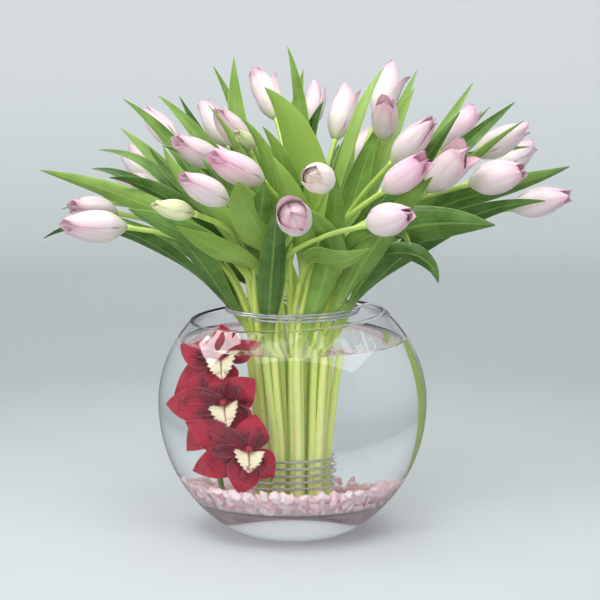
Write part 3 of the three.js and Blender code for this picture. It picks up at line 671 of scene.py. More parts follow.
@dataclass(frozen=True)
class LeafSkin(Finish):
    """The skin of a tulip's leaf: fine parallel veins under a thin bloom of wax."""

    deep: Colour = srgb(40, 82, 20)
    fresh: Colour = srgb(133, 180, 66)
    yellow: Colour = srgb(168, 200, 90)
    root: Colour = srgb(204, 226, 118)
    rim: Colour = srgb(178, 206, 120)
    wax: Colour = srgb(158, 190, 134)
    root_from: float = 0.02
    root_to: float = 0.3

    def paint(self, coat: Coat) -> Inputs:
        """What feeds the shader."""
        veins, clouds = coat.veins(count=46.0, along=1.4), coat.clouds(size=0.03)
        rib, edge = coat.rib(width=0.06), coat.edge(width=0.035)
        lit = coat.spread(veins, more=0.35, least=coat.times(clouds, 0.45))
        colour = coat.mix(lit, self.deep, self.fresh)
        colour = coat.layers(colour, (self.yellow, coat.math("POWER", coat.tone, 2.0), 0.8))
        young = coat.ease(coat.tone, 0.45, 0.0, least=0.0, most=0.55)
        colour = coat.mix(young, colour, self.deep)
        # The paler midrib is the leaf's own colour; the lighter band along the margins is a painted
        # highlight.
        colour = coat.layers(colour, (self.rim, rib, 0.3), (self.wax, clouds, 0.14),
                             (self.rim, edge, 0.45))
        return {
            "Base Color": coat.mix(coat.run(self.root_from, self.root_to), self.root, colour),
            "Roughness": coat.spread(clouds, more=0.14, least=0.36),
            "Specular IOR Level": 0.42,
            "Normal": coat.bump(coat.spread(veins, more=0.6, least=rib), depth=0.22),
            **flesh(weight=0.22, reach=(0.6, 1.0, 0.25), depth=1.5),
        }


@dataclass(frozen=True)
class StemSkin(Finish):
    """A stem: pale where it stands in the water, green above it."""

    drowned: Colour = srgb(250, 254, 178)
    wet: Colour = srgb(244, 253, 134)
    dry: Colour = srgb(172, 206, 84)
    line: Colour = srgb(250, 252, 224)
    low: float = 0.06
    high: float = 0.2
    above: float = 0.27

    def paint(self, coat: Coat) -> Inputs:
        """What feeds the shader."""
        height = coat.parts(coat.spot)[2]
        lines, clouds = coat.veins(count=9.0, along=3.0), coat.clouds(size=0.012)
        colour = coat.mix(coat.ease(height, self.low, self.high), self.drowned, self.wet)
        colour = coat.mix(coat.ease(height, self.high, self.above), colour, self.dry)
        return {
            "Base Color": coat.layers(colour, (self.line, lines, 0.3), (self.dry, coat.tone, 0.5),
                                      (self.wet, clouds, 0.2)),
            "Roughness": coat.spread(clouds, more=0.12, least=0.34),
            "Normal": coat.bump(lines, depth=0.15),
            **flesh(weight=0.3, reach=(0.8, 1.0, 0.35), depth=2.0),
        }


@dataclass(frozen=True)
class PetalSkin(Finish):
    """A tulip's petal: a pale body, green at its foot, flushed along its margins and its tip."""

    body: Colour = srgb(236, 223, 220)
    flush: Colour = srgb(216, 146, 180)
    flame: Colour = srgb(230, 184, 204)
    foot: Colour = srgb(226, 232, 172)
    flushed: float = 0.62
    tipped: float = 0.42
    footed: float = 0.24
    tongued: float = 2.3

    def paint(self, coat: Coat) -> Inputs:
        """What feeds the shader."""
        veins, clouds = coat.veins(count=34.0, along=1.8), coat.clouds(size=0.012)
        rib, edge = coat.rib(width=0.13), coat.edge(width=0.42)
        upper, tip = coat.run(0.22, 0.85), coat.run(0.72, 1.0)
        low, high = coat.run(0.0, self.footed), coat.run(0.1, self.tongued * self.footed)
        flush = coat.times(edge, upper)
        flush = coat.times(flush, coat.spread(veins, more=0.55, least=0.55))
        flush = coat.spread(flush, more=self.flushed, least=coat.times(tip, self.tipped))
        colour = coat.mix(coat.math("MINIMUM", flush, 1.0), self.body, self.flush)
        tongue = coat.times(rib, coat.math("SUBTRACT", 1.0, high))
        green = coat.math("MAXIMUM", coat.math("SUBTRACT", 1.0, low), coat.times(tongue, 0.8))
        return {
            "Base Color": coat.layers(colour, (self.flame, coat.times(rib, upper), 0.55),
                                      (self.flame, veins, 0.3), (self.body, clouds, 0.1),
                                      (self.foot, green, 0.85)),
            "Roughness": coat.spread(veins, more=0.1, least=0.42),
            "Sheen Weight": 0.15,
            "Sheen Roughness": 0.5,
            "Normal": coat.bump(coat.spread(veins, more=0.5, least=rib), depth=0.18),
            **flesh(weight=0.35, reach=(1.0, 0.75, 0.7), depth=2.0),
        }


@dataclass(frozen=True)
class Heart(Finish):
    """Stamens and pistil."""

    pale: Colour = srgb(226, 220, 140)
    ripe: Colour = srgb(176, 106, 48)

    def paint(self, coat: Coat) -> Inputs:
        """What feeds the shader."""
        grains = coat.clouds(size=0.0012, tone=0.0)
        colour = coat.mix(coat.tone, self.pale, self.ripe)
        return {
            "Base Color": coat.layers(colour, (self.ripe, grains, 0.4)),
            "Roughness": 0.7,
            "Normal": coat.bump(grains, depth=0.2),
        }


@dataclass(frozen=True)
class OrchidSkin(Finish):
    """A petal of the crimson orchid, with veins a little lighter than its velvet, and painted shade
    and light.
    """

    velvet: Colour = srgb(54, 0, 10)
    lit_crimson: Colour = srgb(178, 16, 48)
    vein: Colour = srgb(192, 44, 80)
    rim: Colour = srgb(200, 72, 100)

    def paint(self, coat: Coat) -> Inputs:
        """What feeds the shader."""
        veins, clouds = coat.veins(count=17.0, along=1.6), coat.clouds(size=0.014)
        rib, edge = coat.rib(width=0.05), coat.edge(width=0.06)
        # Painted shade towards the heart and painted light towards the tip, with random clouds of the
        # petal's own tone.
        lit = coat.spread(clouds, more=0.55, least=coat.times(coat.run(0.1, 0.9), 0.7))
        colour = coat.mix(coat.ease(lit, 0.2, 1.0), self.velvet, self.lit_crimson)
        return {
            "Base Color": coat.layers(colour, (self.vein, veins, 0.42), (self.vein, rib, 0.35),
                                      (self.rim, edge, 0.45)),
            "Roughness": coat.spread(clouds, more=0.15, least=0.24),
            "Coat Weight": 0.4,
            "Coat Roughness": 0.15,
            "Sheen Weight": 0.05,
            "Sheen Roughness": 0.4,
            "Normal": coat.bump(coat.spread(veins, more=0.5, least=rib), depth=0.2),
            **flesh(weight=0.1, reach=(1.0, 0.25, 0.3), depth=1.5),
        }


@dataclass(frozen=True)
class LipSkin(Finish):
    """The orchid's lip: cream, with a dark red middle and red flecks at its margin."""

    cream: Colour = srgb(246, 232, 206)
    yellow: Colour = srgb(240, 214, 160)
    crimson: Colour = srgb(112, 12, 34)

    def paint(self, coat: Coat) -> Inputs:
        """What feeds the shader."""
        flecks, rib = coat.clouds(size=0.0026), coat.rib(width=0.07)
        throat, outer = coat.run(0.3, 0.0), coat.run(0.55, 0.95)
        margin = coat.math("MAXIMUM", coat.edge(width=0.1), outer)
        spots = coat.times(coat.ease(flecks, 0.55, 0.75), margin)
        return {
            "Base Color": coat.layers(self.cream, (self.yellow, flecks, 0.5),
                                      (self.crimson, spots, 0.85), (self.crimson, rib, 0.8),
                                      (self.crimson, throat, 0.7)),
            "Roughness": coat.spread(flecks, more=0.1, least=0.4),
            "Normal": coat.bump(flecks, depth=0.15),
            **flesh(weight=0.25, reach=(1.0, 0.7, 0.5), depth=1.5),
        }


@dataclass(frozen=True)
class Clear(Finish):
    """Glass or water that light passes on its way to what lies behind, as it does in a lit room."""

    bends: float = 1.5
    tint: Colour = srgb(254, 255, 255)
    worn: float = 0.006

    def paint(self, coat: Coat) -> Inputs:
        """What goes into each input of the shader, which is joined by a way through for light."""
        nodes = coat.tree.nodes
        path = coat.add("LightPath").outputs
        passing = coat.math("MAXIMUM", path["Is Shadow Ray"], path["Is Diffuse Ray"])
        air = coat.add("BsdfTransparent", {0: self.tint}).outputs[0]
        solid = nodes["Principled BSDF"].outputs[0]
        both = coat.add("MixShader", {0: passing, 1: solid, 2: air})
        coat.feed(nodes["Material Output"], {0: both.outputs[0]})
        return {
            "Base Color": self.tint,
            "Roughness": coat.times(coat.clouds(size=0.05, tone=0.0), self.worn),
            "IOR": self.bends,
            "Transmission Weight": 1.0,
        }


@dataclass(frozen=True)
class RoseQuartz(Finish):
    """A chip of rose quartz: milky pink with paler clouds, a little of the light going in."""

    pink: Colour = srgb(250, 206, 214)
    deep: Colour = srgb(240, 172, 186)
    milky: Colour = srgb(254, 230, 234)

    def paint(self, coat: Coat) -> Inputs:
        """What feeds the shader."""
        clouds, flaws = coat.clouds(size=0.007), coat.clouds(size=0.0014)
        colour = coat.mix(coat.tone, self.pink, self.milky)
        return {
            "Base Color": coat.layers(colour, (self.deep, clouds, 0.35), (self.milky, flaws, 0.22)),
            "Roughness": coat.spread(flaws, more=0.25, least=0.22),
            "Normal": coat.bump(flaws, depth=0.25),
            **flesh(weight=0.5, reach=(1.0, 0.6, 0.6), depth=4.0),
        }


@dataclass(frozen=True)
class Silver(Finish):
    """Drawn silver wire, with the die's fine lines along it."""

    bright: Colour = srgb(226, 228, 232)
    dull: Colour = srgb(168, 172, 178)

    def paint(self, coat: Coat) -> Inputs:
        """What feeds the shader."""
        lines, clouds = coat.veins(count=12.0, along=300.0), coat.clouds(size=0.01, tone=0.0)
        return {
            "Base Color": coat.layers(self.bright, (self.dull, clouds, 0.6)),
            "Metallic": 0.6,
            "Roughness": coat.spread(lines, more=0.12, least=0.12),
            "Normal": coat.bump(lines, depth=0.02),
        }


@dataclass(frozen=True)
class Backdrop(Finish):
    """The floor and the wall that it runs up into, matt and pale, with painted light and shade."""

    painted_light_stops: tuple[tuple[float, Triple], ...] = ()
    reach: float = 6.0
    dust: Colour = srgb(200, 200, 200)

    def paint(self, coat: Coat) -> Inputs:
        """What feeds the shader."""
        x, y, z = coat.parts(coat.spot)
        flat = coat.add("CombineXYZ", {0: x, 1: y}).outputs[0]
        far = coat.add("VectorMath", {0: flat}, operation="LENGTH").outputs["Value"]
        run = coat.math("DIVIDE", coat.math("ADD", far, z), self.reach)
        # The ramp paints light and shade into the colour: lighter in the middle, darker farther out,
        # lighter again up the wall.
        ramp = coat.add("ValToRGB", {0: run})
        band = ramp.color_ramp.elements
        for k, (at, painted_shade) in enumerate(self.painted_light_stops):
            stop = band[k] if k < 2 else band.new(1.0)
            stop.position = at / self.reach
            stop.color = srgb(*painted_shade)
        grain = coat.clouds(size=0.3, tone=0.0)
        return {
            "Base Color": coat.layers(ramp.outputs[0], (self.dust, grain, 0.01)),
            "Roughness": 0.75,
            "Specular IOR Level": 0.2,
        }


# ---- where the tulips stand


class Tint(Enum):
    """The finish of a tulip, by the slot that it is kept under."""

    BLUSH = "tulip_blush"
    PINK = "tulip_pink"
    CREAM = "tulip_cream"
    BUD = "tulip_bud"

    def skin(self) -> PetalSkin:
        """The petals' finish."""
        if self is Tint.PINK:
            return PetalSkin(self.value, body=srgb(246, 216, 226), flush=srgb(222, 150, 184),
                             flame=srgb(234, 182, 204), flushed=0.8, tipped=0.5)
        if self is Tint.CREAM:
            return PetalSkin(self.value, body=srgb(250, 240, 226), flush=srgb(238, 202, 206),
                             flame=srgb(240, 214, 206), foot=srgb(226, 224, 160), flushed=0.4)
        if self is Tint.BUD:
            return PetalSkin(self.value, body=srgb(240, 240, 196), flush=srgb(226, 226, 170),
                             flame=srgb(206, 218, 140), foot=srgb(186, 206, 110), footed=0.4)
        return PetalSkin(self.value)


PINKS = (10, 19, 22)
CREAMS = (26,)
BUDS = (3, 28)

# Foot of the bloom, its tip, its radius and how open it is.
TULIPS = (
    ((-150, -40, 290), (-205, -70, 295), 15, 0.25),
    ((-165, 30, 295), (-205, -5, 305), 13, 0.2),
    ((-85, -110, 310), (-120, -130, 320), 9.5, 0),
    ((-55, -110, 320), (-95, -140, 345), 12.5, 0.15),
    ((-125, 50, 315), (-165, 85, 320), 12, 0.2),
    ((-130, 95, 320), (-165, 135, 340), 12, 0.2),
    ((-135, 130, 330), (-160, 170, 345), 12, 0.3),
    ((-110, 110, 350), (-145, 135, 385), 12, 0.2),
    ((-65, -20, 345), (-105, -55, 370), 12.5, 0.2),
    ((-25, -80, 335), (-70, -110, 360), 14, 0.3),
    ((-60, 55, 355), (-85, 85, 395), 12.5, 0.3),
    ((-40, 15, 355), (-70, -10, 395), 12.5, 0.2),
    ((-15, 70, 380), (-30, 105, 420), 13, 0.8),
    ((15, 110, 370), (25, 140, 410), 12, 0.4),
    ((40, 70, 360), (55, 95, 410), 13, 0.5),
    ((80, 85, 380), (100, 115, 425), 13, 0.8),
    ((85, 15, 365), (85, -20, 405), 12.5, 0.4),
    ((90, -50, 350), (125, -80, 390), 13, 0.1),
    ((140, 65, 350), (175, 85, 390), 13, 0.3),
    ((170, 20, 350), (220, 40, 375), 13.5, 0.1),
    ((120, -60, 325), (155, -85, 365), 14.5, 0.7),
    ((80, -110, 330), (115, -145, 360), 13, 0.4),
    ((160, -45, 330), (205, -80, 345), 15.5, 0.1),
    ((200, -20, 305), (250, -50, 320), 13.5, 0.1),
    ((65, -150, 305), (100, -190, 320), 14.5, 0.1),
    ((30, -130, 340), (15, -175, 350), 13.5, 0.3),
    ((5, -140, 305), (0, -190, 320), 15, 0.6),
    ((-35, -10, 360), (-50, -40, 375), 8, 0),
    ((195, 75, 330), (233, 117, 351), 13, 0.2),
    ((-60, 140, 320), (-80, 185, 345), 14, 0.3),
    ((0, 145, 335), (0, 190, 365), 13, 0.2),
    ((60, 140, 330), (80, 180, 360), 14, 0.3),
    ((120, 125, 325), (151, 163, 347), 13, 0.2),
    ((-110, 150, 300), (-140, 190, 315), 13, 0.2),
)

# Tip of a leaf, its width, the pitch of the tip in degrees and how far it faces the front.
LEAVES = (
    ((-230, -20, 340), 22, 15, 0.8),
    ((-230, 0, 275), 20, -25, 0.6),
    ((-215, 20, 300), 18, -5, 0.6),
    ((-146, -70, 310), 26, 25, 0.8),
    ((-101, -100, 298), 24, 35, 0.8),
    ((-180, 20, 355), 18, 0, 0.5),
    ((-190, 50, 335), 20, 0, 0.5),
    ((-165, -40, 335), 22, 20, 0.6),
    ((-133, 0, 361), 18, 60, 0.5),
    ((-115, -60, 365), 22, 70, 0.7),
    ((-118, -30, 363), 18, 15, 0.5),
    ((-160, 60, 400), 20, 40, 0.5),
    ((-165, 90, 370), 20, 30, 0.5),
    ((-125, 30, 405), 22, 40, 0.6),
    ((-110, 110, 400), 20, 75, 0.3),
    ((-76, -20, 399), 18, 45, 0.6),
    ((-68, 10, 390), 18, 25, 0.6),
    ((-75, 70, 430), 20, 75, 0.5),
    ((-55, 50, 440), 26, 75, 0.6),
    ((-25, -20, 415), 40, 40, 0.9),
    ((-5, 60, 450), 18, 85, 0.2),
    ((10, 120, 425), 20, 80, 0.2),
    ((29, 60, 398), 24, 85, 0.5),
    ((-45, -40, 389), 20, 60, 0.6),
    ((-26, -80, 384), 24, 60, 0.6),
    ((-80, -70, 355), 24, 62, 0.7),
    ((-46, -150, 342), 40, 55, 0.8),
    ((-16, -110, 359), 28, 80, 0.6),
    ((7, -115, 318), 26, 80, 0.5),
    ((11, -90, 335), 24, 75, 0.5),
    ((35, -115, 350), 26, 60, 0.7),
    ((62, 60, 387), 26, 68, 0.6),
    ((82, 10, 383), 26, 62, 0.7),
    ((85, 40, 430), 20, 50, 0.5),
    ((115, 60, 410), 24, 55, 0.7),
    ((120, 110, 425), 18, 45, 0.5),
    ((149, -60, 395), 22, 48, 0.7),
    ((170, 60, 415), 22, 52, 0.6),
    ((190, 100, 390), 18, 40, 0.5),
    ((205, 10, 400), 22, 40, 0.7),
    ((210, -20, 385), 18, 36, 0.6),
    ((225, 60, 355), 18, 8, 0.5),
    ((250, -40, 345), 26, 15, 0.8),
    ((225, -70, 317), 26, -5, 0.8),
    ((177, -110, 300), 38, -15, 0.9),
    ((129, -95, 247), 20, -85, 0.8),
    ((120, -140, 345), 28, 30, 0.8),
    ((99, -190, 293), 26, -25, 0.6),
    ((68, -150, 285), 28, 40, 0.7),
)


@dataclass
class Tulip:
    """One tulip: where its bloom is, and where its stem runs once the bundle is laid out."""

    number: int
    base: Array
    tip: Array
    radius: float
    open: float
    seat: Array = field(default_factory=lambda: np.zeros(3))
    foot: float = 0.0
    path: Spline | None = None
    samples: Array = field(default_factory=lambda: np.zeros((0, 4)))

    rise = 1.7
    closed = 0.28
    opening = 0.8
    waist = 0.17
    belly = 0.42
    fullness = 0.85
    kept_clear = (0.15, 0.38, 0.6, 0.85)

    @property
    def tint(self) -> Tint:
        """Its finish."""
        if self.number in PINKS:
            return Tint.PINK
        if self.number in CREAMS:
            return Tint.CREAM
        return Tint.BUD if self.number in BUDS else Tint.BLUSH

    @property
    def heading(self) -> Array:
        """The way that the bloom points."""
        return unit(self.tip - self.base)

    @property
    def length(self) -> float:
        """The length of the bloom."""
        return float(np.linalg.norm(self.tip - self.base))

    @property
    def lean(self) -> float:
        """How far the bloom's foot stands from the middle of the vase."""
        return math.hypot(self.base[0], self.base[1])

    def width_at(self, u: Any) -> Array:
        """The bloom's radius from its foot (0) to its tips (1)."""
        u = np.clip(np.asarray(u, float), 0, 1)
        widest = self.radius - self.rise
        rounding = np.sin(math.pi / 2 * np.minimum(u / self.belly, 1)) ** self.fullness
        low = self.waist + (1 - self.waist) * rounding
        at_tips = self.closed + self.opening * self.open
        high = 1 - (1 - at_tips) * beyond(u, self.belly) ** 2
        return widest * np.where(u < self.belly, low, high)

    def room(self, reach: float = 3.5) -> Array:
        """Points along the bloom with the room that each keeps: rows of x, y, z and reach."""
        u = np.array(self.kept_clear)
        points = self.base + u[:, None] * (self.tip - self.base)
        return np.column_stack([points, self.width_at(u) + reach])

    def on_stem(self, t: float) -> tuple[Array, Array]:
        """A point of the straight line between the stem's bends, and the way it runs there."""
        points = self.path.points
        section = min(len(points) - 2, int(t * (len(points) - 1)))
        a, b = points[section], points[section + 1]
        return a + (b - a) * (t * (len(points) - 1) - section), unit(b - a)


def crowding(samples: Array, obstacles: Array, margin: float = 25.0) -> float:
    """How far samples push into obstacles, both rows of x, y, z and reach.

    Args:
        samples: the points that are tried.
        obstacles: the points that they keep clear of.
        margin: how far round the samples the obstacles count.

    Returns:
        The sum of the squares of the depths.
    """
    near = np.all((obstacles[:, :3] > samples[:, :3].min(0) - margin)
                  & (obstacles[:, :3] < samples[:, :3].max(0) + margin), axis=1)
    others = obstacles[near]
    apart = samples[:, None, :3] - others[None, :, :3]
    square = np.einsum("ijk,ijk->ij", apart, apart)
    reach = samples[:, None, 3] + others[None, :, 3]
    inside = square < reach * reach
    return float(np.sum((reach[inside] - np.sqrt(square[inside])) ** 2))


@dataclass
class Blade:
    """One leaf: where its tip is, the stem that carries it and how it bends clear."""

    tip: Array
    width: float
    pitch: float
    turn: float
    stem: Tulip | None = None
    t: float = 0.0
    bend: Triple = (0.0, 0.0, 0.0)

    fold = 0.3
    clasp = 0.45
    clasped = 0.4
    spring = 20.0
    broadest = 0.48
    leaves_along = 0.3
    leaves_aside = 0.4
    arrives_along = 0.36
    faced = 0.3
    turns_from = 0.1
    turns_within = 0.5

    def midrib(self, root: Array | None = None) -> tuple[Bezier, Array]:
        """Its midline.

        Args:
            root: where it springs, or None for its place on the straight line between bends.

        Returns:
            The curve, and the level direction across it.
        """
        side, lift, _ = self.bend
        sprung, along = self.stem.on_stem(self.t)
        span = float(np.linalg.norm(sprung - self.tip))
        out = unit((self.tip - sprung) * np.array([1, 1, 0]))
        aside = np.array([-out[1], out[0], 0.0])
        arrival = out * math.cos(self.pitch) + UP * math.sin(self.pitch)
        leaving = (sprung + along * self.leaves_along * span + aside * self.leaves_aside * side
                   + out * self.spring)
        arriving = self.tip - arrival * self.arrives_along * span + aside * side + UP * lift
        return Bezier(sprung if root is None else root, leaving, arriving, self.tip), aside

    def frames(self, u: Array, root: Array | None = None, steady: bool = False
               ) -> tuple[Array, Array, Array]:
        """Points on the midline at u, the way across the blade and the way into its hollow.

        Args:
            u: places along the blade.
            root: where it springs, or None for its place on the straight line between bends.
            steady: whether it never turns over.

        Returns:
            The points, the ways across and the ways into the hollow.
        """
        midrib, aside = self.midrib(root)
        forward = midrib.heading(u)
        across = unit(aside - forward * np.sum(forward * aside, axis=-1, keepdims=True))
        facing = unit(np.cross(forward, BACK))
        sign = np.sign(np.sum(facing * across, axis=-1, keepdims=True))
        if steady:
            sign[:] = sign[np.abs(np.asarray(u) - self.faced).argmin()]
        turned = smooth((np.asarray(u) - self.turns_from) / self.turns_within)
        goal = facing * np.where(sign == 0, 1, sign)
        across = unit(across + (goal - across) * (self.turn * turned)[..., None])
        across = turned_about(across, forward, self.bend[2] * turned)
        return midrib.at(u), across, np.cross(forward, across)

    def folded(self, u: Array) -> Array:
        """The angle by which its halves fold up: more where it clasps the stem."""
        return self.fold + self.clasp * (1 - smooth(u / self.clasped))

    def room(self, reach: float = 4.6) -> Array:
        """Points on the blade with the room that each keeps."""
        foot, swelling = 0.15, 0.7
        point, tapering = 0.03, 1.8
        u = np.arange(3, 14) / 13
        middle, across, inward = self.frames(u)
        low = foot + (1 - foot) * smooth(u / self.broadest) ** swelling
        high = 1 - (1 - point) * beyond(u, self.broadest) ** tapering
        half = 0.5 * self.width * np.where(u < self.broadest, low, high)
        fold = self.folded(u)
        rows = []
        for v in (-0.8, 0.0, 0.8):
            wide = (v * half * np.cos(fold))[:, None]
            deep = (abs(v) * half * np.sin(fold))[:, None]
            rows.append(middle + across * wide + inward * deep)
        points = np.stack(rows, axis=1).reshape(-1, 3)
        return np.column_stack([points, np.full(len(points), reach)])


@dataclass
class Arrangement:
    """Lays the bundle out: where each stem stands, how it bends, and where each leaf grows."""

    outer: float = 21.5
    outside: float = 2.5
    inner: float = 8.2
    outer_groups: int = 9
    inner_groups: int = 3
    together: int = 3
    tied: float = 83.0
    neck: float = 209.0
    spread: float = 1.88
    spacing: float = 4.9
    uneven: float = 0.8
    nest: float = 43.3
    gap: float = 0.35
    bends: int = 3
    rises_over: float = 0.4
    arrives_over: float = 0.3
    sways: tuple[int, ...] = (0, 10, -10, 20, -20, 30, -30)
    lifts: tuple[int, ...] = (0, 12, -12)
    stem_samples: int = 26
    sampled_from: float = 0.3
    sampled_over: float = 0.68
    stem_room: float = 4.2
    lowest: float = 165.0
    highest: float = 232.0
    next_leaf: float = 12.0
    climb: float = 0.004
    lean: float = 0.21
    leaves_each: int = 2
    sharing: float = 12
    collar: float = 57.0
    collar_top: float = 214.0
    bulge: float = 4
    leaf_sways: tuple[int, ...] = (0, 8, -8, 16, -16, 24, -24, 32, -32)
    leaf_twists: tuple[float, ...] = (0, 0.3, -0.3)
    twisting: float = 30
    filling: int = 10
    filling_draws: int = 14
    filling_seed: int = 5
    tulips: list[Tulip] = field(default_factory=list)
    groups: list[list[Tulip]] = field(default_factory=list)
    blades: list[Blade] = field(default_factory=list)

    def lay_out(self) -> None:
        """Does all of it, in the order in which each thing keeps clear of those before."""
        self.tulips = [Tulip(i + 1, np.array(base, float), np.array(tip, float), radius, wide)
                       for i, (base, tip, radius, wide) in enumerate(TULIPS)]
        self.stand()
        self.bend_stems()
        self.grow_leaves()
        log.info("%d tulips in %d groups, %d leaves",
                 len(self.tulips), len(self.groups), len(self.blades))

    def stand(self) -> None:
        """Gathers the stems in groups of two or three, on an inner and an outer ring."""
        by_lean = sorted(self.tulips, key=lambda t: t.lean)
        upright = by_lean[:self.together * self.inner_groups]
        leaning = [t for t in self.tulips if t not in upright]
        rings = ((upright, self.inner_groups, self.inner), (leaning, self.outer_groups, self.outer))
        for ring, (members, count, radius) in enumerate(rings):
            members = sorted(members, key=lambda t: azimuth(t.base))
            for g in range(count):
                group = [t for i, t in enumerate(members) if i * count // len(members) == g]
                angle = TURN * (g + 0.5 * ring) / count - math.pi + math.pi / count * (1 - ring)
                outward = sorted(group, key=lambda t: -t.lean)
                inward = sorted(outward[1:], key=lambda t: azimuth(t.base))
                corners = (angle, angle - TURN / 3, angle + TURN / 3)
                for m, tulip in enumerate([outward[0], *inward]):
                    seat = around(self.spacing / math.sqrt(3), corners[m], 0.0)
                    tulip.seat = seat + around(radius, angle, 0.0)
                    tulip.foot = self.nest + self.uneven * m
                self.groups.append(group)

    def stem_path(self, tulip: Tulip, side: float, lift: float) -> Spline:
        """A stem's midline: upright through the coil, widening to the neck, then to its bloom.

        Args:
            tulip: whose stem it is.
            side: how far it sways aside.
            lift: how far it is lifted before the bloom.

        Returns:
            The curve.
        """
        foot = tulip.seat + UP * tulip.foot
        tied = tulip.seat + UP * self.tied
        neck = tulip.seat * self.spread + UP * self.neck
        span = float(np.linalg.norm(neck - tulip.base))
        rising = unit(neck - tied)
        aside = unit(np.array([-rising[1], rising[0], 0.0]))
        bend = Bezier(neck, neck + rising * self.rises_over * span + aside * side,
                      tulip.base - tulip.heading * self.arrives_over * span + UP * lift,
                      tulip.base - tulip.heading * self.gap)
        return Spline([foot, tied, neck, *bend.at(np.arange(1, self.bends + 1) / self.bends)])

    def bend_stems(self) -> None:
        """Bends each stem clear of the blooms and of the stems before it."""
        blooms = [t.room() for t in self.tulips]
        placed: list[Array] = []
        count = self.stem_samples
        stations = self.sampled_from + self.sampled_over * np.arange(count) / (count - 1)
        for tulip in (t for group in self.groups for t in group):
            others = [room for t, room in zip(self.tulips, blooms) if t is not tulip]
            obstacles = np.concatenate([*others, *placed])
            best = math.inf
            for side in self.sways:
                for lift in self.lifts:
                    path = self.stem_path(tulip, side, lift)
                    samples = np.column_stack([path.at(stations), np.full(count, self.stem_room)])
                    score = crowding(samples, obstacles) + abs(side) + abs(lift)
                    if score < best:
                        best, tulip.path, tulip.samples = score, path, samples
            placed.append(tulip.samples)

    def nearest(self, tip: Array, counts: list[int]) -> int:
        """The stem whose neck lies nearest under a leaf's tip, of those with room for a leaf.

        Args:
            tip: the leaf's tip.
            counts: how many leaves each stem has.

        Returns:
            The index of the stem.
        """
        goal = tip * self.lean * np.array([1, 1, 0])
        away = [float(np.linalg.norm(tulip.seat * self.spread - goal)) for tulip in self.tulips]
        free = [i for i, count in enumerate(counts) if count < self.leaves_each]
        return min(free, key=lambda i: away[i] + self.sharing * counts[i])

    def bulging(self, samples: Array) -> float:
        """How far a leaf stands out of the collar of wire at the neck."""
        low = samples[samples[:, 2] < self.collar_top]
        out = np.maximum(0, np.hypot(low[:, 0], low[:, 1]) - self.collar)
        return float(np.sum(self.bulge * out**2))

    def grow(self, owner: int, carried: int, shapes: list[Blade], bends: list[Triple],
             obstacles: list[Array]) -> None:
        """Grows one leaf, in the shape and the bend that stand clearest of what is there.

        Args:
            owner: the index of its stem.
            carried: how many leaves the stem has already.
            shapes: the leaves to choose from, not yet on a stem.
            bends: the bends to choose from: aside, upwards and round.
            obstacles: the points of what is there, to which its own are added.
        """
        stem = self.tulips[owner]
        out = math.hypot(stem.seat[0], stem.seat[1])
        outermost = float(smooth((out - self.outer) / self.outside))
        start = (self.highest + (self.lowest - self.highest) * outermost
                 + self.next_leaf * carried)
        t = 0.0
        while stem.on_stem(t)[0][2] < start:
            t += self.climb
        standing = np.concatenate(obstacles)
        best, kept, room = math.inf, None, None
        for shape in shapes:
            for bend in bends:
                blade = Blade(shape.tip, shape.width, shape.pitch, shape.turn, stem, t, bend)
                samples = blade.room()
                score = (crowding(samples, standing) + self.bulging(samples)
                         + abs(bend[0]) + abs(bend[1]) + self.twisting * abs(bend[2]))
                if score < best:
                    best, kept, room = score, blade, samples
        self.blades.append(kept)
        obstacles.append(room)

    @staticmethod
    def filler(tulip: Tulip, draw: Draws) -> Blade:
        """A leaf of the filling, drawn near a bloom.

        Args:
            tulip: whose bloom it is.
            draw: where its tip is, and how it lies.

        Returns:
            The leaf, not yet on a stem.
        """
        inmost, outwards, aside = 50, 0.8, 1.3
        below, play = 30, 60
        far = inmost + outwards * tulip.lean * (0.6 + 0.6 * next(draw))
        turned = azimuth(tulip.base) + aside * (next(draw) - 0.5)
        tip = around(far, turned, tulip.base[2] - below + play * next(draw))
        width = 22 + 8 * next(draw)
        pitch = 0.2 + 0.9 * next(draw)
        return Blade(tip, width, pitch, turn=0.8 * next(draw))

    def grow_leaves(self) -> None:
        """Grows the leaves one by one, each bent clear of all that stands before it."""
        counts = [0] * len(self.tulips)
        obstacles = [*(t.room() for t in self.tulips), *(t.samples for t in self.tulips)]
        bends = [(side, lift, twist) for side in self.leaf_sways for lift in self.lifts
                 for twist in self.leaf_twists]
        for tip, width, pitch, turn in LEAVES:
            at = np.array(tip, float)
            owner = self.nearest(at, counts)
            leaf = Blade(at, width, math.radians(pitch), turn)
            self.grow(owner, counts[owner], [leaf], bends, obstacles)
            counts[owner] += 1
        draw = draws(self.filling_seed)
        for _ in range(self.filling):
            owner = counts.index(min(counts))
            shapes = [self.filler(self.tulips[owner], draw) for _ in range(self.filling_draws)]
            self.grow(owner, counts[owner], shapes, [(0, 0, 0)], obstacles)
            counts[owner] += 1


# ---- blooms, stems and leaves


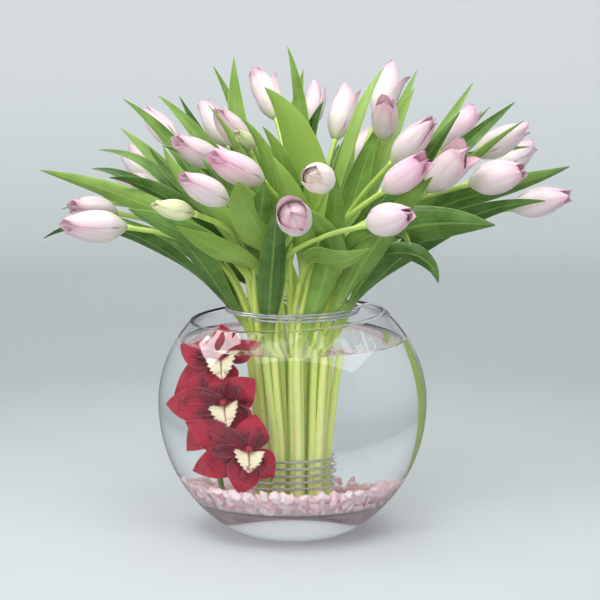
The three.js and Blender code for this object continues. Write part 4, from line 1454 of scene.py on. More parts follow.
@dataclass
class Blooms:
    """The tulips' flowers: three outer petals round three inner ones."""

    sheet: Sheet = Sheet(rows=18, columns=12, thickness=0.7, margin=0.45)
    petals: int = 6
    widest: float = 0.46
    foot: float = 0.4
    swelling: float = 0.8
    narrowing: float = 2.6
    blunt: float = 0.66
    narrowest: float = 0.035
    wrap: float = 1.14
    overlap: float = 1.08
    ajar: float = 0.45
    shut: float = 0.34
    opens_by: float = 0.5
    least_shut: float = 0.02
    tucked: float = 0.93
    gathers_from: float = 0.5
    gathering: float = 1.6
    proud: float = 0.95
    inset: float = 0.35
    flare: float = 0.05
    flare_open: float = 0.16
    sway: float = 0.22
    ribbed: tuple[float, float] = (0.5, 0.16)
    rolled: Triple = (0.7, 1.8, 2.6)
    frill: float = 0.7
    rippling: float = 1.6
    tip_from: float = 0.86
    seed: int = 71

    def outline(self, u: Array) -> Array:
        """Half-width of a petal along its length, 1 at its widest."""
        low = self.foot + (1 - self.foot) * smooth(u / self.widest) ** self.swelling
        high = (1 - beyond(u, self.widest) ** self.narrowing) ** self.blunt
        return np.maximum(np.where(u < self.widest, low, high), self.narrowest)

    def petal(self, tulip: Tulip, middle: float, outer: bool, draw: Draws) -> Surface:
        """The surface of one petal.

        Args:
            tulip: whose it is.
            middle: the angle of its midline about the bloom.
            outer: whether it is one of the three that stand over the others.
            draw: small differences between petals.

        Returns:
            Points for u along and v across.
        """
        sway, tilt, reach, ripple = (next(draw) - 0.5 for _ in range(4))
        start = TURN * next(draw)
        widest = tulip.radius - tulip.rise
        proud = self.proud if outer else -self.inset
        flare = (self.flare + self.flare_open * tulip.open) * (1 if outer else 0.5)
        shut, ajar, play = self.rolled
        lift = (ajar if tulip.open > self.ajar else shut) + play * tilt if outer else 0.0
        closing = max(self.shut - self.opens_by * tulip.open, self.least_shut)
        closing = closing if outer else self.tucked

        def surface(u: Array, v: Array) -> Array:
            """The petal curls round the bloom's axis and follows the bloom's own outline."""
            radius = tulip.width_at(u)
            drawn_in = 1 - closing * smooth((u - self.gathers_from) / 0.5) ** self.gathering
            spread = radius if outer else radius * drawn_in
            half = np.minimum(self.wrap, self.overlap * widest * self.outline(u) / spread)
            angle = middle + self.sway * sway * u + v * half
            radius = radius * (1 + (flare + 0.1 * tilt) * u**2) * drawn_in
            radius = radius + proud * smooth(u / 0.3)
            radius = radius - crease(u, v, *self.ribbed, foot=0.4, tip=0.2)
            wave = self.frill * np.sin(7.5 * u + start + 1.4 * np.sign(v)) + self.rippling * ripple
            radius = radius + smooth((u - 0.35) / 0.4) * v**2 * wave
            tipped = smooth((u - self.tip_from) / 0.14)
            radius = radius + tipped * lift
            along = tulip.length * (u * (1 + 0.07 * reach) - 0.02 * u * v**2)
            along = along + self.frill * tipped * np.sin(6 * v + start)
            return around(radius, angle, along)
        return surface

    def build(self, tulips: list[Tulip]) -> None:
        """Makes every flower."""
        draw = draws(self.seed)
        skins = {tint: tint.skin().make() for tint in Tint}
        heart = Heart("tulip_heart").make()
        for tulip in tulips:
            shape = Shape()
            spin = 0.5 * (next(draw) - 0.5)
            for k in range(self.petals):
                outer = k % 2 == 0
                middle = TURN * k / self.petals + spin * (0.2 if outer else 0.5)
                petal = self.petal(tulip, middle, outer, draw)
                self.sheet.add_to(shape, petal, tone=next(draw))
            if tulip.open > self.ajar:
                self.add_heart(shape, tulip)
            shape.placed(turn_up_to(tulip.heading), tulip.base)
            number = f"{tulip.number:02d}"
            shape.piece(f"tulip_{number}", [skins[tulip.tint], heart], f"bloom_{number}",
                        tulip.tint.value)

    @staticmethod
    def add_heart(shape: Shape, tulip: Tulip) -> None:
        """Adds the pistil and its six stamens, round the bloom's axis."""
        high = tulip.length
        stamens = 6
        pistil = np.array([[0, 0, z * high] for z in (0.06, 0.2, 0.36, 0.48, 0.52, 0.55)])
        swollen = [1.6, 2.1, 2.0, 1.7, 2.9, 1.2]
        add_tube(shape, pistil, swollen, 12, tone=0.15, skin=1)
        u = np.array([0.05, 0.2, 0.34, 0.36, 0.46, 0.56, 0.58])
        out = np.array([2.0, 3.2, 4.2, 4.3, 4.8, 5.2, 5.2])
        wide = [0.5, 0.5, 0.5, 1.0, 1.2, 0.9, 0.3]
        for k in range(stamens):
            turned = TURN * (k + 0.5) / stamens
            add_tube(shape, around(out, turned, u * high), wide, 8, tone=0.9, skin=1)


@dataclass
class Greenery:
    """The stems and their leaves, in the groups that stand together."""

    stem: float = 3.1
    slender: float = 2.35
    slender_at: float = 0.7
    into_bloom: float = 1.2
    collar: float = 0.8
    collar_over: float = 0.03
    sides: int = 14
    steps: int = 64
    sheet: Sheet = Sheet(rows=34, columns=10, thickness=0.95, margin=0.4)
    foot: float = 0.4
    swelling: float = 0.8
    point: float = 0.025
    tapering: float = 1.9
    arched: float = 2.2
    gutter: float = 0.5
    wave: float = 0.075
    ribbed: tuple[float, float] = (0.35, 0.12)
    pale: tuple[int, ...] = (19,)
    palest: float = 1.0
    greenest: float = 0.92
    seed: int = 29

    def build(self, arrangement: Arrangement) -> None:
        """Makes a piece of stems and a piece of leaves for each group."""
        draw = draws(self.seed)
        stem_skin = StemSkin("stem_green").make()
        leaf_skin = LeafSkin("leaf_green").make()
        for g, group in enumerate(arrangement.groups):
            number = f"{g + 1:02d}"
            node = f"leafy_stems_{number}"
            stems = Shape()
            for tulip in group:
                self.add_stem(stems, tulip, next(draw))
            stems.piece(f"stems_{number}", [stem_skin], node, "foliage")
            leaves = Shape()
            for k, blade in enumerate(arrangement.blades):
                if blade.stem in group:
                    surface, tone = self.surface(blade, draw), self.greenest * next(draw)
                    tone = self.palest if k in self.pale else tone
                    self.sheet.add_to(leaves, surface, tone)
            if leaves.count:
                leaves.piece(f"leaves_{number}", [leaf_skin], node, "foliage")

    def add_stem(self, shape: Shape, tulip: Tulip, tone: float) -> None:
        """Adds one stem, which widens a little into the foot of its bloom."""
        t = np.linspace(0, 1, self.steps)
        path = tulip.path.at(t)
        path[-1] = tulip.base + tulip.heading * self.into_bloom
        radius = self.stem + (self.slender - self.stem) * smooth(t / self.slender_at)
        radius = radius + self.collar * smooth((t - (1 - self.collar_over)) / self.collar_over)
        add_tube(shape, path, radius, self.sides, tone)

    def surface(self, blade: Blade, draw: Draws) -> Surface:
        """The drawn surface of a leaf.

        Args:
            blade: the leaf.
            draw: small differences between leaves.

        Returns:
            Points for u along and v across.
        """
        root = blade.stem.path.at(blade.t)
        phase, sway, swell, _ = (next(draw) for _ in range(4))

        def surface(u: Array, v: Array) -> Array:
            """The leaf is arched across, hollow at its root and wavy at its margins."""
            s = u[:, 0]
            middle, across, inward = blade.frames(s, root, steady=True)
            low = self.foot + (1 - self.foot) * smooth(s / 0.5) ** self.swelling
            tapering = self.tapering + 0.5 * swell
            high = 1 - (1 - self.point) * beyond(s, blade.broadest) ** tapering
            half = 0.5 * blade.width * np.where(s < blade.broadest, low, high)
            arc = self.arched * blade.folded(s) * (0.8 + 0.5 * swell)
            arc = arc + self.gutter * (1 - smooth(s / 0.16))
            wide = (half / arc)[:, None] * np.sin(arc[:, None] * v)
            deep = (half / arc)[:, None] * (1 - np.cos(arc[:, None] * v))
            wave = np.sin(TURN * (1.3 + sway) * u + TURN * phase + 1.1 * np.sign(v))
            deep = deep + self.wave * half[:, None] * wave * v**2 * smooth(u / 0.3)
            deep = deep - crease(u, v, *self.ribbed, foot=0.2, tip=0.1)
            return (middle[:, None] + across[:, None] * wide[..., None]
                    + inward[:, None] * deep[..., None])
        return surface


# ---- vase, water, chips and wires


@dataclass
class Vase:
    """The fishbowl of clear glass, with its thick solid bottom."""

    height: float = 203.8
    slant: float = 4.8
    shoulder: float = 187.0
    radius: float = 125.5
    widest: float = 121.0
    above: float = 117.6
    below: float = 134.0
    side_from: float = 2.2
    wall: float = 4.0
    floor: float = 36.0
    cove: float = 2.5
    heel: float = 66.0
    thickening: float = 13.0
    thickens: float = 2.2
    water: float = 180.0
    meniscus: float = 1.6
    creeps: float = 6.0
    into_glass: float = 0.2
    sides: int = 160
    steps: int = 56

    def outer(self, z: Any) -> Array:
        """Radius outside at a height."""
        z = np.asarray(z, float)
        half = np.where(z > self.widest, self.above, self.below)
        return self.radius * np.sqrt(np.maximum(0, 1 - ((z - self.widest) / half) ** 2))

    def inner(self, z: Any) -> Array:
        """Radius inside at a height."""
        z = np.asarray(z, float)
        heel = np.maximum(0, (self.heel - z) / (self.heel - self.floor))
        return self.outer(z) - self.wall - self.thickening * heel**self.thickens

    def build(self) -> None:
        """Makes the vase, and the water that it holds."""
        dry = Clear("clear_glass", bends=1.5).make()
        wet = Clear("wetted_glass", bends=1.128).make()
        round_rim = self.wall / 2
        outer_skin, underside = 2.5, 20.0
        lip = self.height - round_rim
        foot = np.array([[0, 1.2], [30, 1.0], [42, 0.3], [46, 0.0], [50, 0.0], [53, 0.35],
                         [55.5, 1.0]])
        turns = np.linspace(0, math.pi, 9)[1:-1]
        middle = float(self.outer(lip) + self.inner(lip)) / 2
        crown = np.column_stack([middle + round_rim * np.cos(turns),
                                 lip + round_rim * np.sin(turns)])
        rise = self.stations(self.side_from, lip)
        fall = self.stations(self.floor + self.cove, lip)[::-1]
        profile = np.concatenate([foot, np.column_stack([self.outer(rise), rise]), crown,
                                  np.column_stack([self.inner(fall), fall]), self.bottom()[::-1]])

        def wetted(middle: Array) -> int:
            """The finish of a band of the vase: wet on the inside, under the water's level."""
            r, z = middle
            inside = r < self.outer(z) - outer_skin and z > underside
            return int(inside and z < self.water)
        bowl = Shape()
        add_lathe(bowl, profile, self.sides, wetted)
        bowl.points = [self.cut_aslant(p) for p in bowl.points]
        bowl.piece("glass_bowl", [dry, wet], "vase", "vase_glass")
        self.fill()

    def cut_aslant(self, points: Array) -> Array:
        """Moves points over the shoulder along the vase's own outline, up to the slanting rim."""
        x, y, z = points.T
        angle = np.arctan2(y, x)
        rim = self.height + self.slant * np.cos(angle)
        share = (rim - self.shoulder) / (self.height - self.shoulder)
        lifted = np.where(z > self.shoulder, self.shoulder + (z - self.shoulder) * share, z)
        moved = np.where(z > self.shoulder, self.outer(lifted) - self.outer(z), 0)
        return around(np.hypot(x, y) + moved, angle, lifted)

    def bottom(self) -> Array:
        """The top of the solid bottom, from the middle to where the wall starts."""
        edge = float(self.inner(self.floor + self.cove))
        drop = np.array([[0.0, -0.5], [0.5, -0.4], [0.8, -0.1], [0.93, 0.3], [0.985, 1.1]])
        return drop * [edge, 1.0] + [0.0, self.floor]

    def stations(self, low: float, high: float) -> Array:
        """Heights from low to high, closer together at both ends."""
        return (low + high) / 2 + (high - low) / 2 * tight_ends(self.steps)

    def fill(self) -> None:
        """Makes the water: it reaches just into the glass and climbs a little way up it."""
        side = Clear("water_side", bends=1.0).make()
        top = Clear("water_top", bends=1.333).make()
        climbed = self.water + self.meniscus
        rise = self.stations(self.floor + self.cove, climbed)
        edge = float(self.inner(climbed)) + self.into_glass
        climb = np.linspace(0, 1, 10)[1:]
        curve = np.column_stack([edge - self.creeps * climb,
                                 self.water + self.meniscus * (1 - climb) ** 3])
        floor = self.bottom() - [0, self.into_glass]
        flat = np.array([[70, self.water], [45, self.water], [0, self.water]])
        against = np.column_stack([self.inner(rise) + self.into_glass, rise])
        body = Shape()
        add_lathe(body, np.concatenate([floor, against, curve, flat]), self.sides,
                  lambda middle: int(middle[1] > self.water - 0.1 and middle[0] < edge - 0.01))
        body.piece("water_body", [side, top], "water", "water")


@dataclass
class QuartzBed:
    """The bed of rose quartz chips on the floor of the vase."""

    vase: Vase
    kinds: int = 14
    corners: int = 14
    least: float = 7.2
    most: float = 10.4
    blunt: float = 0.22
    worn: float = 0.1
    courses: tuple[float, ...] = (41.0, 47.5, 54.0)
    in_course: int = 46
    on_top: int = 220
    spiral: float = 2.39996
    reach: float = 95.0
    farthest: float = 100.0
    lowest: float = 36.8
    off_glass: float = 0.35
    near_glass: float = 0.8
    level: float = 44.0
    rise: float = 13.0
    rises_at: float = 105.0
    nest: float = 43.0
    hollow: float = 31.0
    core_foot: float = 37.5
    core_sides: int = 64
    seed: int = 11

    def stones(self, rng: np.random.Generator) -> list[Stone]:
        """Makes the shapes that the chips are copies of: rough hulls with their edges worn.

        Args:
            rng: how each is shaped.

        Returns:
            The points and the faces of each.
        """
        made = []
        for _ in range(self.kinds):
            points = unit(rng.normal(size=(self.corners, 3)))
            points = points * rng.uniform(0.72, 1.0, (self.corners, 1))
            points = points * rng.uniform([0.85, 0.62, 0.5], [1.1, 0.95, 0.8])
            mesh = bmesh.new()
            for p in points:
                mesh.verts.new(p)
            hull = bmesh.ops.convex_hull(mesh, input=mesh.verts)
            inside = list(set(hull["geom_interior"] + hull["geom_unused"]))
            bmesh.ops.delete(mesh, geom=inside, context="VERTS")
            bmesh.ops.dissolve_limit(mesh, angle_limit=self.blunt, verts=mesh.verts,
                                     edges=mesh.edges)
            bmesh.ops.bevel(mesh, geom=mesh.edges[:], offset=self.worn, segments=2,
                            affect="EDGES", clamp_overlap=True)
            bmesh.ops.recalc_face_normals(mesh, faces=mesh.faces)
            mesh.verts.index_update()
            made.append((np.array([v.co for v in mesh.verts]),
                         [[v.index for v in face.verts] for face in mesh.faces]))
            mesh.free()
        return made

    def build(self) -> None:
        """Makes the chips that show, at the glass and on top, round a core of the same stone."""
        rng = np.random.default_rng(self.seed)
        stones = self.stones(rng)
        skin = RoseQuartz("rose_quartz_skin").make()
        chips = Shape()
        against_glass = 200.0
        spots = [(turned, z, against_glass) for z in self.courses
                 for turned in np.arange(self.in_course) * TURN / self.in_course + z]
        spots += [(k * self.spiral, 0.0, math.sqrt(k / self.on_top) * self.reach)
                  for k in range(self.on_top)]
        for turned, z, far in spots:
            self.add_chip(chips, stones[rng.integers(self.kinds)], float(turned), z, far, rng)
        chips.piece("quartz_chips", [skin], "quartz_bed", "rose_quartz", flat=True)
        self.add_core(skin)

    def add_core(self, skin: Material) -> None:
        """Makes the core under the chips: clear of the glass, and low where the stems stand."""
        clear, under, lowered = 8.0, 5.0, 39.6
        z = np.array([self.core_foot, 40.0, 44.0, 48.0])
        side = np.column_stack([self.vase.inner(z) - clear, z])
        far = np.array([80.0, 66.0, 48.0, self.hollow, 0.0])
        top = [[r, min(self.stones_level(r) - under, lowered if r <= self.hollow else math.inf)]
               for r in far]
        core = Shape()
        add_lathe(core, np.concatenate([[[0, self.core_foot]], side, np.array(top)]),
                  self.core_sides, tone=0.3)
        core.piece("quartz_core", [skin], "quartz_bed", "rose_quartz", flat=True)

    def stones_level(self, far: float) -> float:
        """Height of the bed's top at a distance from its middle."""
        return self.level + self.rise * (far / self.rises_at) ** 2 + 1.2 * math.sin(far / 9)

    def add_chip(self, shape: Shape, stone: Stone, turned: float, z: float,
                 far: float, rng: np.random.Generator) -> None:
        """Adds one chip, pushed in from the glass until it just clears it.

        Args:
            shape: where it goes.
            stone: its points and faces.
            turned: its angle about the middle.
            z: its height, or 0 for one that lies on top.
            far: its distance from the middle.
            rng: how it lies and how large it is.
        """
        tries = 6
        size = rng.uniform(self.least, self.most)
        turn, _ = np.linalg.qr(rng.normal(size=(3, 3)))
        turn *= np.sign(np.linalg.det(turn))
        points = stone[0] * size @ turn.T
        turned += rng.uniform(-0.03, 0.03)
        if z:
            lies = z + rng.uniform(-1.5, 1.5)
        else:
            lies = self.stones_level(far) + rng.uniform(-2.5, 2.0)
            if far < self.hollow:
                lies = min(lies, self.nest - 2)
        far = min(far, self.farthest)
        for _ in range(tries):
            at = points + around(far, turned, lies)
            low = self.lowest - at[:, 2].min()
            if low > 0:
                lies += low
                continue
            out = float(np.max(np.hypot(at[:, 0], at[:, 1]) - self.vase.inner(at[:, 2])))
            if out < -self.off_glass and (not z or out > -self.near_glass):
                break
            far -= out + 0.5
        shape.add(points + around(far, turned, lies), stone[1], tone=rng.uniform())


@dataclass(frozen=True)
class Winding:
    """Turns of wire that were wound by hand, so they are not quite alike."""

    radius: float
    low: float
    pitch: float
    turns: float
    wobble: float
    start: float
    steps: int = 56

    def points(self) -> Array:
        """The points of the wire's axis."""
        t = np.linspace(0, 1, round(self.turns * self.steps) + 1)
        turned = self.start + TURN * self.turns * t
        uneven = self.wobble * np.sin(2.3 * turned)
        out = self.radius + uneven + 0.4 * self.wobble * np.sin(5.1 * turned + 1)
        height = self.low + self.pitch * self.turns * t
        return around(out, turned, height + 0.8 * self.wobble * np.sin(1.7 * turned + 0.6))


@dataclass
class Wires:
    """The two windings of silver wire: one low round the stems, one where they pass the rim."""

    thick: float = 1.0
    coil: Winding = Winding(radius=29.8, low=57.5, pitch=5.3, turns=4.9, wobble=0.35, start=3.1)
    rim: Winding = Winding(radius=61.5, low=206.5, pitch=2.6, turns=2.3, wobble=0.5, start=-2.2)
    sides: int = 12
    hook_steps: int = 64

    def build(self) -> None:
        """Makes both."""
        silver = Silver("silver").make()
        low = Shape()
        add_tube(low, self.coil.points(), self.thick, self.sides)
        low.piece("silver_coil", [silver], "low_coil", "silver_wire")
        rim = Shape()
        turns = self.rim.points()
        add_tube(rim, np.concatenate([turns, self.hook(turns[-1])]), self.thick, self.sides)
        rim.piece("silver_rim", [silver], "rim_wire", "silver_wire")

    def hook(self, start: Array) -> Array:
        """The wire's free end: out over the rim of the vase, then down in a small crook."""
        far = np.array([64.5, 69, 75, 80, 84.5, 88.5, 90.5])
        high = np.array([213.5, 215.5, 214.5, 212.5, 210.4, 207.2, 203])
        swing = np.array([0.06, 0.12, 0.17, 0.21, 0.24, 0.25, 0.26])
        knots = [start, *around(far, azimuth(start) + swing, high)]
        return Spline(knots).at(np.linspace(0, 1, self.hook_steps)[1:])


# ---- what is sunk in the water


@dataclass(frozen=True)
class Orchid:
    """One flower of the spike: its middle, the way it faces, and its five petals.

    Each petal has an angle in degrees about the flower's middle, and a length.
    """

    middle: Triple
    face: Triple
    petals: tuple[tuple[float, float], ...]

    @property
    def at(self) -> Array:
        """Its middle."""
        return np.array(self.middle, float)

    @property
    def facing(self) -> Array:
        """The way it faces."""
        return unit(np.array(self.face, float))


@dataclass
class Orchids:
    """A spike of crimson orchids in the water, beside one long leaf."""

    flowers: tuple[Orchid, ...] = (
        Orchid((-56, -38, 162), (-0.2, -1, 0.25),
               ((97, 39), (150, 46), (203, 49), (262, 24), (28, 32))),
        Orchid((-52, -50, 128), (-0.25, -1, 0.05),
               ((88, 25), (168, 58), (215, 52), (292, 30), (30, 29))),
        Orchid((-36, -65, 93), (0.05, -1, 0),
               ((78, 29), (160, 60), (205, 54), (262, 37), (318, 29))),
    )
    route: tuple[Triple, ...] = ((-51, -31, 39), (-58, -26, 100), (-56, -25, 150))
    sheet: Sheet = Sheet(rows=30, columns=12, thickness=1.0, margin=0.5)
    lip_sheet: Sheet = Sheet(rows=46, columns=22, thickness=1.0, margin=0.5)
    leaf_sheet: Sheet = Sheet(rows=44, columns=8, thickness=0.9, margin=0.5)
    width: float = 29.0
    proud: float = 1.3
    start: float = 2.5
    shoulder: float = 0.42
    narrowest: float = 0.4
    heart: float = 5.0
    lip: float = 19.0
    lip_width: float = 24.0
    lip_curl: float = 1.95
    teeth: float = 8.5
    ridge: float = 0.9
    ridge_at: float = 0.16
    ridge_width: float = 0.09
    column: float = 2.6
    column_high: float = 12.5
    stalk: float = 2.6
    stalklet: float = 1.5
    sides: int = 14
    leaf: tuple[Triple, ...] = ((77, 20, 42), (101, 0, 100), (103, -6, 140), (86, 4, 187))
    leaf_facing: Triple = (0.5, -0.87, 0.0)
    leaf_width: float = 14.0
    leaf_point: float = 0.72
    seed: int = 43

    def build(self) -> None:
        """Makes the flowers, their spike and the leaf."""
        draw = draws(self.seed)
        velvet = OrchidSkin("orchid_velvet").make()
        cream = LipSkin("orchid_cream").make()
        for k, flower in enumerate(self.flowers):
            turn = turn_up_to(flower.facing)
            petals = Shape()
            for i, (degrees, length) in enumerate(flower.petals):
                blade = self.blade(math.radians(degrees), length, self.proud * (i % 2), draw)
                self.sheet.add_to(petals, blade, tone=next(draw))
            self.add_column(petals)
            petals.placed(turn, flower.at)
            petals.piece(f"orchid_{k + 1}", [velvet], f"orchid_petals_{k + 1}", "orchid_crimson")
            lip = Shape()
            self.lip_sheet.add_to(lip, self.tongue, tone=next(draw))
            lip.placed(turn, flower.at)
            lip.piece(f"orchid_tongue_{k + 1}", [cream], f"orchid_lip_{k + 1}", "orchid_lip")
        self.add_spike()
        self.add_leaf()

    def blade(self, angle: float, length: float, proud: float, draw: Draws) -> Surface:
        """The surface of one of a flower's five petals.

        Args:
            angle: its angle about the flower's middle.
            length: how far it reaches.
            proud: how far it stands over its neighbours.
            draw: small differences between petals.

        Returns:
            Points for u along and v across.
        """
        out, across = around(1.0, angle, 0.0), around(1.0, angle + TURN / 4, 0.0)
        curl, phase, twist = next(draw), TURN * next(draw), next(draw) - 0.5

        def surface(u: Array, v: Array) -> Array:
            """The petal cups, waves at its margins and curls back at its tip."""
            swelling = np.sin(math.pi * np.minimum(u + 0.08, 0.5)) ** 1.2
            half = 0.5 * self.width * (0.34 + 0.66 * swelling)
            half = half * np.maximum(1 - beyond(u, self.shoulder) ** 1.8, 0) ** 0.95
            half = np.maximum(half, self.narrowest)
            far = self.start + (length + 1 - self.start) * u
            height = proud + 5.5 * (u**2 - 0.4) - (4 + 6 * curl) * smooth((u - 0.6) / 0.4) * u
            height = height + 0.16 * half * v**2 * (1 - 0.6 * u) + 4 * twist * v * u
            height = height + 0.06 * half * np.sin(7 * u + phase + np.sign(v)) * v**2
            height = height - 0.5 * bell(v, 0.1)
            return out * far[..., None] + across * (v * half)[..., None] + UP * height[..., None]
        return surface

    def tongue(self, u: Array, v: Array) -> Array:
        """The surface of the lip: side lobes raised round the column, a frilled lobe curled down.

        Args:
            u: places along it, from 0 to 1.
            v: places across it, from -1 to 1.

        Returns:
            Its points.
        """
        bend = 0.62 * self.lip
        side = bell(u - 0.3, 0.2)
        front = smooth((u - 0.45) / 0.25)
        half = 0.5 * self.lip_width * (0.42 + 0.58 * smooth(u / 0.34))
        half = half * (1 - 0.94 * np.maximum((u - 0.38) / 0.62, 0) ** 1.3)
        teeth = np.abs((u * self.teeth + 0.25 * np.sign(v)) % 1 - 0.5) * 2
        half = half * (1 + (0.42 * teeth - 0.16) * np.abs(v) ** 4 * (0.6 + 0.4 * front))
        angle = self.lip_curl * u
        y = -bend * (1 - np.cos(angle))
        z = 0.85 * self.heart + 0.6 + bend * np.sin(angle)
        z = z + 3.6 * side * v**2 + 0.9 * front * np.sin(9 * v + 2) * v**2 * u
        y = y + 5.0 * side * v**2
        ridges = bell(v - self.ridge_at, self.ridge_width) + bell(v + self.ridge_at, self.ridge_width)
        z = z + self.ridge * ridges * smooth(u / 0.15) * smooth((0.7 - u) / 0.2)
        return np.stack([v * half, y, z], axis=-1)

    def add_column(self, shape: Shape) -> None:
        """Adds the column that arches over the lip, with its cap, and the flower's back."""
        t = np.linspace(0, 1, 14)
        path = np.column_stack([np.zeros(14), 2.5 + 2.2 * np.sin(2.4 * t),
                                1 + self.column_high * t])
        add_tube(shape, path, self.column - 0.5 * t, self.sides, tone=0.5, flatten=0.25)
        cap = path[-1] + np.array([[0, 0.4 * z, 2.6 * z] for z in np.linspace(-0.45, 1, 8)])
        wide = 2.7 * np.sqrt(np.maximum(0.03, 1 - np.linspace(-0.5, 1, 8) ** 2))
        add_tube(shape, cap, wide, self.sides, tone=0.9)
        t = np.linspace(0, 1, 7)
        back = np.column_stack([np.zeros(7), np.zeros(7), -self.heart + (self.heart + 2) * t])
        add_tube(shape, back, self.heart * (0.45 + 0.35 * smooth(t)), self.sides, tone=0.4)

    def add_spike(self) -> None:
        """Makes the green spike and the flowers' short stalks."""
        topmost, apart, arch = 0.98, 0.34, 2.0
        route = Spline(self.route)
        spike = Shape()
        t = np.linspace(0, 1, 48)
        add_tube(spike, route.at(t), self.stalk - 0.9 * t, self.sides, tone=0.6)
        for k, flower in enumerate(self.flowers):
            start = route.at(topmost - apart * k)
            end = flower.at - flower.facing * (self.heart - 0.5)
            knots = [start, start + (end - start) * 0.5 + UP * arch, end]
            path = Spline(knots).at(np.linspace(0, 1, 14))
            add_tube(spike, path, self.stalklet, 10, tone=0.9)
        skin = StemSkin("spike_green", drowned=srgb(120, 150, 70), wet=srgb(104, 138, 62),
                        dry=srgb(96, 120, 60)).make()
        spike.piece("orchid_stalk", [skin], "orchid_spike", "foliage")

    def add_leaf(self) -> None:
        """Makes the long leaf that stands against the glass."""
        route = Spline(self.leaf)

        def surface(u: Array, v: Array) -> Array:
            """The leaf follows its route, hollow across and a little wavy."""
            s = u[:, 0]
            middle = route.at(s)
            forward = unit(np.gradient(middle, axis=0))
            across = unit(np.cross(forward, np.array(self.leaf_facing)))
            inward = np.cross(forward, across)
            half = 0.5 * self.leaf_width * (1 - self.leaf_point * np.abs(2 * s - 1) ** 3.4)
            wide = (half[:, None] * v)[..., None] * across[:, None]
            deep = (0.16 * half[:, None] * v**2 + 0.25 * np.sin(9 * u + v))[..., None]
            return middle[:, None] + wide + deep * inward[:, None]
        leaf = Shape()
        self.leaf_sheet.add_to(leaf, surface, tone=0.5)
        skin = LeafSkin("sunken_green", deep=srgb(138, 152, 58), fresh=srgb(186, 196, 92),
                        root_from=-0.4, root_to=-0.3).make()
        leaf.piece("long_leaf", [skin], "sunken_leaf", "foliage")


# ---- studio


def put(name: str, data: Any, at: Triple, towards: Triple) -> bpy.types.Object:
    """Makes the object of a light or a camera.

    Args:
        name: its name.
        data: the light or the camera itself.
        at: where it is, in metres.
        towards: the point that it faces.

    Returns:
        The new object.
    """
    holder = bpy.data.objects.new(name, data)
    holder.location = at
    facing = Vector(towards) - Vector(at)
    holder.rotation_euler = facing.to_track_quat("-Z", "Y").to_euler()
    bpy.context.scene.collection.objects.link(holder)
    return holder


@dataclass
class Light:
    """A soft light: where it is, what it faces, how large and how strong it is."""

    name: str
    at: Triple
    size: tuple[float, float]
    power: float
    towards: Triple = (0.0, 0.0, 0.22)
    mirrored: bool = False
    lighting: bool = True

    def build(self) -> None:
        """Makes the light, unseen by the camera itself."""
        lamp = bpy.data.lights.new(self.name, "AREA")
        lamp.shape = "RECTANGLE"
        lamp.size, lamp.size_y = self.size
        lamp.energy = self.power
        holder = put(self.name, lamp, self.at, self.towards)
        holder.visible_camera = False
        holder.visible_transmission = False
        holder.visible_glossy = self.mirrored
        holder.visible_diffuse = self.lighting


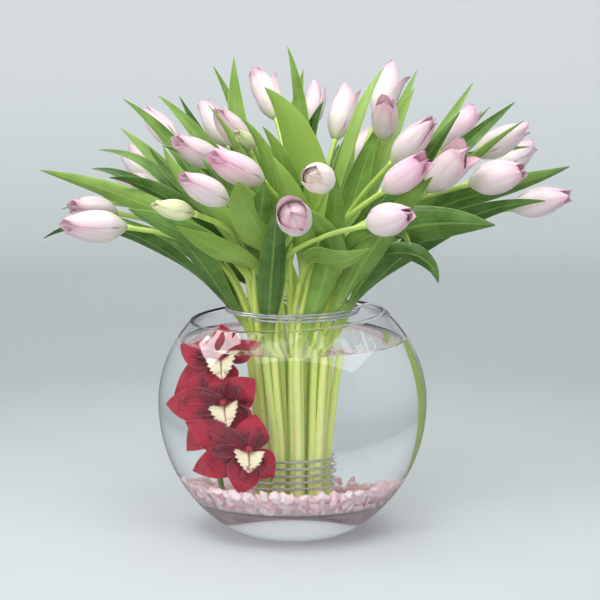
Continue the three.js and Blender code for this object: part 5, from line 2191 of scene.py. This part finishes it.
@dataclass
class Studio:
    """The pale floor and wall, the lights and the camera. Sizes are in metres."""

    flat: float = 2.6
    cove: float = 1.0
    wall: float = 2.2
    steps: int = 24
    sides: int = 128
    world: Triple = (0.97, 0.985, 1.0)
    ambient: float = 0.62
    mirrored: float = 0.24
    eye: Triple = (0.007, -1.9, 0.511)
    aim: Triple = (0.007, 0.0, 0.217)
    lens: float = 124.04
    lights: tuple[Light, ...] = (
        Light("softbox", (0.03, -0.52, 1.4), (0.75, 0.62), 6.5, towards=(0.02, -0.3, 0.2)),
        Light("left_box", (-0.36, -0.36, 1.42), (0.3, 0.3), 2.2),
        Light("key", (-1.3, -1.5, 1.7), (1.0, 1.0), 12.0),
        Light("front", (-0.35, -2.2, 0.55), (1.2, 0.8), 14.0, towards=(0.0, 0.0, 0.14)),
        Light("fill", (1.6, -1.3, 1.3), (1.0, 1.3), 3.0),
        Light("top", (0.1, 0.6, 2.3), (1.8, 1.4), 9.0),
        Light("wall_wash", (0.0, 1.2, 2.1), (3.0, 0.8), 24.0, towards=(0.0, 3.3, 0.7)),
        Light("wide_card", (0.5, -0.25, 1.4), (2.6, 1.6), 40.0, towards=(0.5, -0.25, 0.0),
              mirrored=True, lighting=False),
        Light("left_card", (-1.35, 0.28, 1.4), (1.0, 0.9), 26.0, mirrored=True, lighting=False),
    )
    # Painted light and shade of the floor and wall: a shade for each distance out along the floor and
    # up the wall, in metres.
    painted_light_shades: tuple[tuple[float, Triple], ...] = (
        (0.0, (216, 221, 223)), (0.25, (203, 209, 211)), (0.5, (186, 193, 195)),
        (0.8, (172, 179, 181)), (1.2, (174, 180, 182)), (1.8, (180, 186, 187)),
        (2.4, (201, 208, 209)), (3.0, (208, 214, 215)), (3.6, (218, 222, 224)),
        (4.2, (222, 225, 227)),
    )

    def build(self) -> None:
        """Makes all of it."""
        scene = bpy.context.scene
        scene.view_settings.view_transform = "Standard"
        scene.world = self.sky()
        for light in self.lights:
            light.build()
        self.build_floor()
        camera = bpy.data.cameras.new("camera")
        camera.lens = self.lens
        camera.sensor_width = 36.0
        scene.camera = put("camera", camera, self.eye, self.aim)

    def sky(self) -> bpy.types.World:
        """Makes the pale light from all round, which shows less in reflections."""
        world = bpy.data.worlds.new("pale_room")
        world.use_nodes = True
        room = Tree(world.node_tree)
        glossy = room.add("LightPath").outputs["Is Glossy Ray"]
        strength = room.spread(glossy, more=self.mirrored - self.ambient, least=self.ambient)
        room.feed(world.node_tree.nodes["Background"],
                  {"Color": (*self.world, 1.0), "Strength": strength})
        return world

    def build_floor(self) -> None:
        """Makes the floor, which sweeps up all round into a low wall."""
        flat = np.column_stack([np.linspace(0, self.flat, self.steps), np.zeros(self.steps)])
        turns = np.linspace(0, TURN / 4, self.steps)[1:]
        sweep = np.column_stack([self.flat + self.cove * np.sin(turns),
                                 self.cove * (1 - np.cos(turns))])
        top = np.array([[self.flat + self.cove, self.wall]])
        profile = np.concatenate([flat, sweep, top]) / MM
        angle, grid, after = rounds(len(profile) - 1, self.sides)
        rings = around(profile[1:, 0][:, None], angle[None], profile[1:, 1][:, None])
        points = np.concatenate([rings.reshape(-1, 3), [[0.0, 0.0, 0.0]]])
        faces = np.stack([grid[:-1], grid[1:], after[1:], after[:-1]], -1).reshape(-1, 4).tolist()
        faces += [[len(points) - 1, a, b] for a, b in zip(grid[0].tolist(), after[0].tolist())]
        floor = Shape()
        floor.add(points, faces)
        made = floor.made("floor", [Backdrop("backdrop", painted_light_stops=self.painted_light_shades).make()])
        made.visible_glossy = False
        made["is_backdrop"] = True


# ---- all of it


def write_size() -> None:
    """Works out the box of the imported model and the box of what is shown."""
    def rows(box: Any) -> list[list[float]]:
        """A box's two corners as plain lists of numbers."""
        return [[float(c) for c in corner] for corner in box]
    {"cad": rows(CAD_BOUNDS), "visual": rows(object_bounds())}


def main() -> None:
    """Builds the vase and what stands in it, then the studio."""
    logging.basicConfig(level=logging.INFO, format="%(name)s: %(message)s")
    arrangement = Arrangement()
    arrangement.lay_out()
    vase = Vase()
    vase.build()
    QuartzBed(vase).build()
    Wires().build()
    Orchids().build()
    Greenery().build(arrangement)
    Blooms().build(arrangement.tulips)
    Studio().build()
    write_size()


if __name__ == "__main__":
    main()
